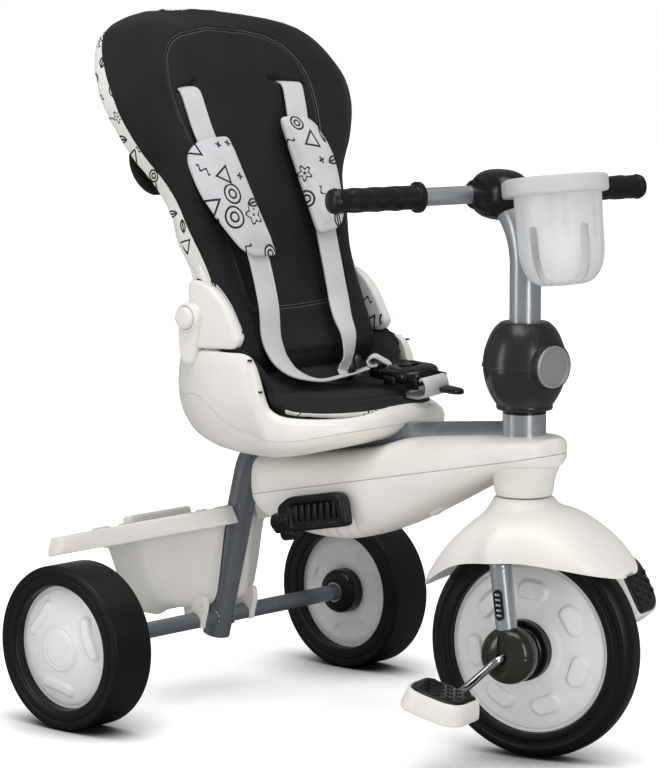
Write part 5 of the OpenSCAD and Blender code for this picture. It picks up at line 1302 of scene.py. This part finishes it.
seat_cloth = cloth("seat_cloth", "pad_fabric", "#161616", printed="border", scale=0.05, threads=0.55, sheen=0.04)
print_cloth = cloth("print_cloth", "print_fabric", "#bdbdc0", printed="all", scale=0.036, threads=0.7, uv=True,
                    sheen=0.1)
strap_cloth = cloth("strap_cloth", "webbing", "#bdbdbc", threads=0.5, ribbed=True, uv=True, sheen=0.1)


# Soft goods
def puff(ob, voxel, cap, pressure=4.0):
    """Blows a closed cover up a little as its filling would, never past the cap."""
    work(ob, "REMESH", mode="VOXEL", voxel_size=voxel)
    work(ob, "SMOOTH", factor=0.5, iterations=4)
    rest = [v.co.copy() for v in ob.data.vertices]
    pick(ob)
    m = ob.modifiers.new("Cloth", "CLOTH")
    m.settings.quality = 5
    m.settings.mass = 0.3
    m.settings.tension_stiffness = m.settings.compression_stiffness = 8
    m.settings.bending_stiffness = 0.4
    m.settings.use_pressure = True
    m.settings.uniform_pressure_force = pressure
    m.settings.effector_weights.gravity = 0
    m.point_cache.frame_start, m.point_cache.frame_end = 1, 20
    scene = bpy.context.scene
    for f in range(1, 21):
        scene.frame_set(f)
    bpy.ops.object.modifier_apply(modifier=m.name)
    scene.frame_set(1)
    for v, p in zip(ob.data.vertices, rest):
        moved = v.co - p
        if moved.length > cap:
            v.co = p + moved * (cap / moved.length)
    return ob


def mark(ob, name, values):
    """Stores a value on each vertex, for a finish to read."""
    layer = ob.data.attributes.new(name, "FLOAT", "POINT")
    for i, value in enumerate(values):
        layer.data[i].value = value


PANEL = [(0, 66), (0.03, 72), (0.15, 75), (0.35, 78), (0.5, 86), (0.58, 96), (0.68, 102), (0.78, 102), (0.87, 93),
         (0.935, 75), (0.975, 48), (0.994, 22), (1, 0)]


def panel_edge(y, s):
    """Distance in the back's plane from the sewn pear-shaped panel's outline, negative inside it."""
    y, t = abs(y), (s - 40) / 304
    best = hypot(max(0, y - 66), s - 40)
    ends = [Vector((max(0, curve(k / 40, PANEL)), 40 + 304 * k / 40)) for k in range(41)]
    here = Vector((y, s))
    for p, q in zip(ends, ends[1:]):
        run = q - p
        k = min(1, max(0, (here - p).dot(run) / run.length_squared))
        best = min(best, (here - p - run * k).length)
    return -best if 0 < t < 1 and y < curve(t, PANEL) else best


def print_line(s):
    return mix(13.5, 15.5, ease(265, 150, s))


def cushion_half(s):
    return back_half(min(375, max(-26, s))) + 6 * ease(150, 215, s) * ease(374, 335, s)


def back_cushion():
    low = [(0.5, -6, 0), (0.5, 0.6, 1), (4, 1.2, 1), (9, 0.8, 0.55), (13, 0.4, 0.12), (17, -0.6, 0), (20.5, -3, 0),
           (23.5, -8, 0), (25.6, -15, 0), (26.8, -24, 0)]
    # rolled wings of the head: depth and share of the half width
    head = [(0.5, 0.3), (0.5, 0.65), (0.5, 0.965), (2.5, 0.995), (5.5, 1), (10, 0.985), (15, 0.96), (20, 0.93),
            (25, 0.89), (29, 0.84), (32, 0.77), (33, 0.68), (32, 0.58), (28.5, 0.44), (25.4, 0.3), (24, 0.15)]
    rings = []
    for s in back_rows(-28, 375, 90):
        half = cushion_half(s) - 2
        flange = 9 * ease(-10, 20, s) * ease(185, 120, s)
        hollow = 13 * ease(160, 80, s) * ease(-12, 20, s)
        foot = 1 - 0.4 * bell(s, -28, 10)
        row = [(0.5, half * 0.3), (0.5, half * 0.65)]
        row += [(x * foot, half + d * min(1, half / 60) + flange * w) for x, d, w in low]
        last = row[-1][1]
        row += [(27.4 * foot - hollow * bell(last * k, 0, 62), last * k) for k in (0.84, 0.66, 0.46, 0.22)]
        row.append((27.4 * foot - hollow, 0))
        rolled = ease(115, 175, s)
        crown = 1 - 0.62 * ease(338, 375, s)
        row = [(mix(x, hx * crown, rolled), mix(y, half * hy, rolled)) for (x, y),
               (hx, hy) in zip(row, head + [(24, 0)])]
        row = row + [(x, -y) for x, y in reversed(row[:-1])] + [(0.5, 0)]
        # the cover sits a little askew at the head
        rings.append([(x + back_sway(y, s), y, s + (4 - 0.045 * y) * ease(190, 330, s)) for x, y in row])
    pad = place(loft("back_cushion", rings), BACK)
    puff(pad, 0.0048, 0.003)
    work(pad, "SUBSURF", levels=1, render_levels=1)
    inverse = BACK.inverted()
    edges, lines = [], []
    for v in pad.data.vertices:
        p = inverse @ v.co
        depth, half = p.x - back_sway(p.y, p.z), cushion_half(p.z)
        flank = max(abs(p.y) - half + 26, p.z - 338, 0) * ease(30, 70, p.z)
        edges.append(0.5 + min(print_line(p.z) - depth, flank - 4) / 10)
        line = panel_edge(p.y, p.z) if depth > 9 else 50
        lines.append(line)
        if depth > 9 and abs(p.y) < half - 8:
            p.x -= 1.3 * bell(line, 0, 2.2) - 0.8 * bell(line, 5.5, 3)
            p.x -= 2.4 * bell(p.z, -11 - 11 * (p.y / 87) ** 2, 3.5)
            slit = p.z - 277 + 0.3 * (abs(p.y) - 73)
            if abs(abs(p.y) - 74) < 21:
                p.x -= 5 * bell(slit, 0, 3)
        if flank:
            p.y -= (1 if p.y > 0 else -1) * 0.8 * bell(depth, print_line(p.z), 1.6)
        v.co = BACK @ p
    mark(pad, "border", edges)
    mark(pad, "seam", lines)
    fit(pad, seat_cloth, "backrest", "back_pad", smooth=180)


def seat_reach(x, y):
    """Share of the way from the pocket's middle to its wall."""
    return (abs((x - SEAT_X) / PAD_LONG) ** 2.3 + abs(y / PAD_SIDE) ** 2.3) ** (1 / 2.3)


def pad_rim_z(x):
    return seat_rim_z(max(-1, min(1, (x - SEAT_X) / PAD_LONG)))


def seat_top(x, y):
    rim = pad_rim_z(x)
    k = seat_reach(x, y)
    cheek = max(0, rim - 341) * ease(0.74, 0.98, k) * ease(192, 168, x)
    lip = (rim + 11 - PAD_TOP) * ease(0.72, 0.95, k) * ease(168, 196, x)
    return PAD_TOP + cheek + lip + 15 * ease(168, 137, x) + 5 * ease(136, 110, x)


def seat_cushion():
    levels = [(0.3, -30), (0.8, -30), (0.93, -14), (0.965, -9), (0.985, -5), (0.98, -2.2), (0.965, -0.6), (0.94, 0),
              (0.9, 0), (0.84, 0), (0.76, 0), (0.66, 0), (0.54, 0), (0.4, 0), (0.26, 0), (0.12, 0)]

    def shape(u, v):
        k, drop = levels[round(v * (len(levels) - 1))]
        cx, cy = seat_axes(2 * pi * u)
        x, y = SEAT_X + PAD_LONG * k * cx, PAD_SIDE * k * cy
        if x < 108:
            x = 108 - 2 * k
        if drop == -30:
            return x, y, 322
        return x, y, max(323 + drop / 10, seat_top(x, y) + drop)
    pad = place(skin("seat_cushion", shape, 140, len(levels) - 1), TRIKE)
    puff(pad, 0.0044, 0.003)
    work(pad, "SUBSURF", levels=1, render_levels=1)
    inverse, edges = TRIKE.inverted(), []
    for v in pad.data.vertices:
        p = inverse @ v.co
        k = seat_reach(p.x, p.y)
        if p.z > seat_top(p.x, p.y) - 5:
            p.z -= 2.4 * bell(p.x, 156 + 0.0012 * p.y * p.y, 3.2)
            p.z -= 1.8 * bell(k, 0.8, 0.025) * ease(160, 185, p.x)
        if p.x > 172:
            p.z -= 0.8 * bell(k, 0.955, 0.012)
        v.co = TRIKE @ p
        edges.append(0.5 + min(pad_rim_z(p.x) + 7.5 - p.z, (k - 0.93) * 120, (p.x - 186) * 0.5) / 10)
    mark(pad, "border", edges)
    mark(pad, "seam", [50.0] * len(edges))
    fit(pad, seat_cloth, "frame", "seat_pad", smooth=180)


def strap(name, route, sides, width, thick=2.0):
    """Flat webbing along a route; sides give the direction of its width."""
    route = [Vector(p) for p in route]
    m = len(route) - 1
    length = sum((b - a).length for a, b in zip(route, route[1:]))
    section = [(a, -0.5) for a in (-0.5, -0.25, 0, 0.25, 0.5)] + [(a, 0.5) for a in (0.5, 0.25, 0, -0.25, -0.5)]
    rings = []
    for i, p in enumerate(route):
        ahead = (route[min(i + 1, m)] - route[max(i - 1, 0)]).normalized()
        side = Vector(sides[i])
        side = (side - ahead * side.dot(ahead)).normalized()
        up = ahead.cross(side)
        rings.append([p + side * (a * width) + up * (b * thick) for a, b in section])
    ob = loft(name, rings, cloth=(2 * width, length))
    work(ob, "BEVEL", width=0.5, segments=2, limit_method="ANGLE", angle_limit=radians(60))
    return ob


def spread(pts, count):
    """Points at even steps along a line of points."""
    gone = [0.0]
    for a, b in zip(pts, pts[1:]):
        gone.append(gone[-1] + (b - a).length)
    out, j = [], 0
    for k in range(count + 1):
        want = gone[-1] * k / count
        while j < len(gone) - 2 and gone[j + 1] < want:
            j += 1
        t = (want - gone[j]) / max(1e-6, gone[j + 1] - gone[j])
        out.append(pts[j].lerp(pts[j + 1], min(1, t)))
    return out


def smooth_route(points, count):
    """Points spread evenly on a smooth curve through the given ones."""
    pts = [Vector(p) for p in points]
    fine = []
    for i in range(len(pts) - 1):
        a, b, c, d = pts[max(i - 1, 0)], pts[i], pts[i + 1], pts[min(i + 2, len(pts) - 1)]
        for k in range(24):
            t = k / 24
            fine.append(0.5 * (2 * b + (c - a) * t + (2 * a - 5 * b + 4 * c - d) * t * t
                               + (3 * b - a - 3 * c + d) * t ** 3))
    return spread(fine + [pts[-1]], count)


def even(points, count):
    """Points spread evenly along a closed outline."""
    pts = [Vector(p) for p in points]
    return [tuple(p) for p in spread(pts + [pts[0]], count)[:-1]]


def on_back(x, y, s):
    """Place on the trike of a point told in the back's frame, at a depth off its swayed plane."""
    return TRIKE.inverted() @ BACK @ Vector((x + back_sway(y, s), y, s))


def harness():
    routes = {"right": [on_back(14, -72, 282), on_back(24, -72, 278), on_back(33, -73, 270), on_back(36, -75, 248),
                        on_back(38, -76, 225), on_back(42, -73, 180), on_back(48, -68, 130), on_back(52, -65, 92),
                        (132.7, -67, 431), (137, -68, 399.5), (141, -66, 384), (146, -60, 371), (154, -45, 358),
                        (165, -24, 351), (174, 2, 354), (186, 22, 360)],
              "left": [on_back(14, 80, 282), on_back(24, 80, 278), on_back(33, 78, 270), on_back(36, 73, 250),
                       on_back(38, 67, 228), on_back(42, 59, 180), on_back(47, 53, 130), (119, 49, 440),
                       (133, 42, 411), (146.6, 37, 391), (151.5, 33, 374), (152, 30, 362), (158, 26, 354),
                       (172, 22, 356), (186, 26, 361)], }
    for word, points in routes.items():
        route = smooth_route(points, 90)
        lap = Vector((0.75, -0.65, 0.1)) if word == "right" else Vector((0.5, -0.85, 0))
        sides = [Vector((0, -1, 0)).lerp(lap, ease(0.68, 0.95, i / 90)) for i in range(91)]
        ob = place(strap("shoulder_strap_" + word, route, sides, 28), TRIKE)
        pick(ob)
        bpy.ops.object.shade_smooth_by_angle(angle=radians(40))
        ob.data.materials.clear()
        ob.data.materials.append(strap_cloth)
        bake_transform(ob)
        if word == "right":
            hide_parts("shoulder_straps")


def shoulder_pads():
    levels = [(0.2, 0), (0.7, 0), (0.9, 0.05), (0.985, 0.22), (1, 0.36), (0.985, 0.5), (0.93, 0.56), (0.88, 0.62),
              (0.8, 0.84), (0.62, 0.97), (0.35, 1), (0.12, 1)]
    outlines = {"right": [(-47, 218, 5), (-39, 85, 5), (-84, 86, 18), (-111, 150, 50), (-113, 202, 24),
                          (-92, 216, 20)], "left": [(39, 235, 5), (33, 104, 5), (70, 107, 22), (92, 150, 50),
                                                    (103, 196, 26), (86, 233, 20)]}
    for word, corners in outlines.items():
        outline = even(rounded(corners, steps=10), 96)
        middle = sum((Vector(p) for p in outline), Vector((0, 0))) / 96
        rings = []
        for k, h in levels:
            ring = []
            for p in outline:
                y, s = middle + (Vector(p) - middle) * k
                off = 33 + 20 * max(0, 1 - (s - 44) / 234) ** 1.4
                ring.append((off + 2 + 15 * h - 0.0035 * (y - middle.x) ** 2 + back_sway(middle.x, s), y, s))
            rings.append(ring)
        pad = loft("shoulder_pad_" + word + "_cover", rings)
        lay_flat(pad, lambda co: (co.y + 0.6 * co.x, co.z))
        place(pad, BACK)
        work(pad, "SUBSURF", levels=2, render_levels=2)
        fit(pad, print_cloth, "backrest", "shoulder_pad_" + word, smooth=180)


CATCH = TRIKE @ shift(228, 40, 351) @ turn(-15.7, "Z") @ turn(8, "X")


def shield_outline(k):
    return rounded([(-27 * k, -21 * k, 12), (20 * k, -24 * k, 18), (33 * k, -13 * k, 12), (33 * k, 13 * k, 12),
                    (20 * k, 24 * k, 18), (-27 * k, 21 * k, 12)], steps=8)


def buckle():
    dome = [(0.6, 1), (0.93, 1), (0.985, 2.4), (1, 5), (1, 8), (0.985, 10.4), (0.95, 12.2), (0.86, 13.8), (0.7, 15),
            (0.5, 15.6), (0.44, 15.7), (0.41, 14.8), (0.2, 14.6), (0.05, 14.6)]
    parts = [loft("shield", [[(x, y, z) for x, y in shield_outline(k)] for k, z in dome])]
    for y in (-13, 13):
        prong = slab("prong", rounded([(-44, y - 8, 3), (-20, y - 9, 2), (-20, y + 9, 2), (-44, y + 8, 3)]), 1.5,
                     11.5, 2.4, 3)
        parts.append(prong)
        for x in (-39, -34, -29):
            rib = slab("rib", oblong(x - 1.2, y - 8.8, x + 1.2, y + 8.8, 1), 3, 12.4, 0.9, 2)
            parts.append(rib)
    for s in (-1, 1):
        wing = slab("wing", rounded([(-12, s * 17, 3), (10, s * 17, 3), (8, s * 26.5, 4), (-10, s * 26.5, 4)]), -1,
                    8, 2.4, 3)
        cheek = slab("cheek", rounded([(20, s * 15, 2), (41, s * 15, 4), (41, s * 19.5, 4), (20, s * 19.5, 2)]), -3,
                     8, 1.8, 3)
        parts += [close_up(wing, fill=False), close_up(cheek, fill=False)]
    rod = pipe("bar", [(37, -17, 3), (37, 17, 3)], 3.4, 24)
    parts.append(rod)
    fit(place(join("buckle_shield", *parts), CATCH), black_plastic, "frame", "buckle", smooth=38)
    button = lathe("buckle_disc", [(0, 9, 0), (10, 9, 0), (10, 17.2, 1.2), (8.4, 17.8, 0.6), (7.6, 16.6, 0.8),
                                   (0, 17, 0)], 56)
    fit(place(button, CATCH), black_plastic, "buckle_button", "buckle_button", smooth=40)


def lap_web():
    """Crotch strap round the buckle's bar, the rolled end of the lap web, the adjuster and the tail."""
    fold = smooth_route([(20, 0, -8), (34, 0, -3), (41, 0, 7), (47, 0, 6), (50, 0, -1), (46, 0, -9), (34, 0, -13),
                         (14, 0, -14), (-6, 0, -13.4)], 60)
    web = strap("crotch_web", fold, [(0, 1, 0)] * 61, 28)
    place(web, CATCH)
    curl = smooth_route([(198, 47, 362), (194, 40, 367), (187, 33, 372), (182, 29, 368), (185, 30, 363),
                         (191, 34, 364)], 40)
    roll = place(strap("lap_roll", curl, [(0.6, -0.75, 0)] * 41, 24), TRIKE)
    fit(join("lap_web", web, roll), strap_cloth, "frame", "lap_straps", smooth=40)
    path = [(x, y, 0) for x, y in oblong(-17, -10, 17, 10, 5, 5)]
    ring = pipe("adjuster", path + [path[0]], 2.7, 14, closed=True)
    bar = pipe("adjuster_bar", [(-15, 0, 0), (15, 0, 0)], 2.2, 14)
    tail = slab("tail", rounded([(50, 1, 3), (74, 2, 4), (82, 5, 3), (82, 11, 3), (74, 14, 4), (50, 15, 3)]), -8,
                -3, 2, 3)
    place(tail, CATCH)
    lie = shift(175, 14, 361) @ turn(-48, "Z") @ turn(62, "X")
    whole = place(join("adjuster", ring, bar), TRIKE @ lie)
    fit(join("adjuster", whole, tail), black_plastic, "frame", smooth=40)


ear_linings()
back_cushion()
seat_cushion()
harness()
shoulder_pads()
buckle()
lap_web()

# What is left of the solids keeps its shape and gets a finish
kept = ((painted_steel, ("main_tube", "axle_tube", "fork_crown", "seat_bracket")),
        (bar_steel, ("head_tube", "steerer", "fork_leg_right", "fork_leg_left", "stem", "bar")),
        (bright_steel, ("axle_rod", "axle_caps", "screws", "recline_pins")),
        (black_plastic, ("head_bushes", "leg_inserts", "clutch_core", "handle_socket")), )
for finish, nodes in kept:
    for node in nodes:
        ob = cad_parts[node]
        ob.data.materials.clear()
        ob.data.materials.append(finish)
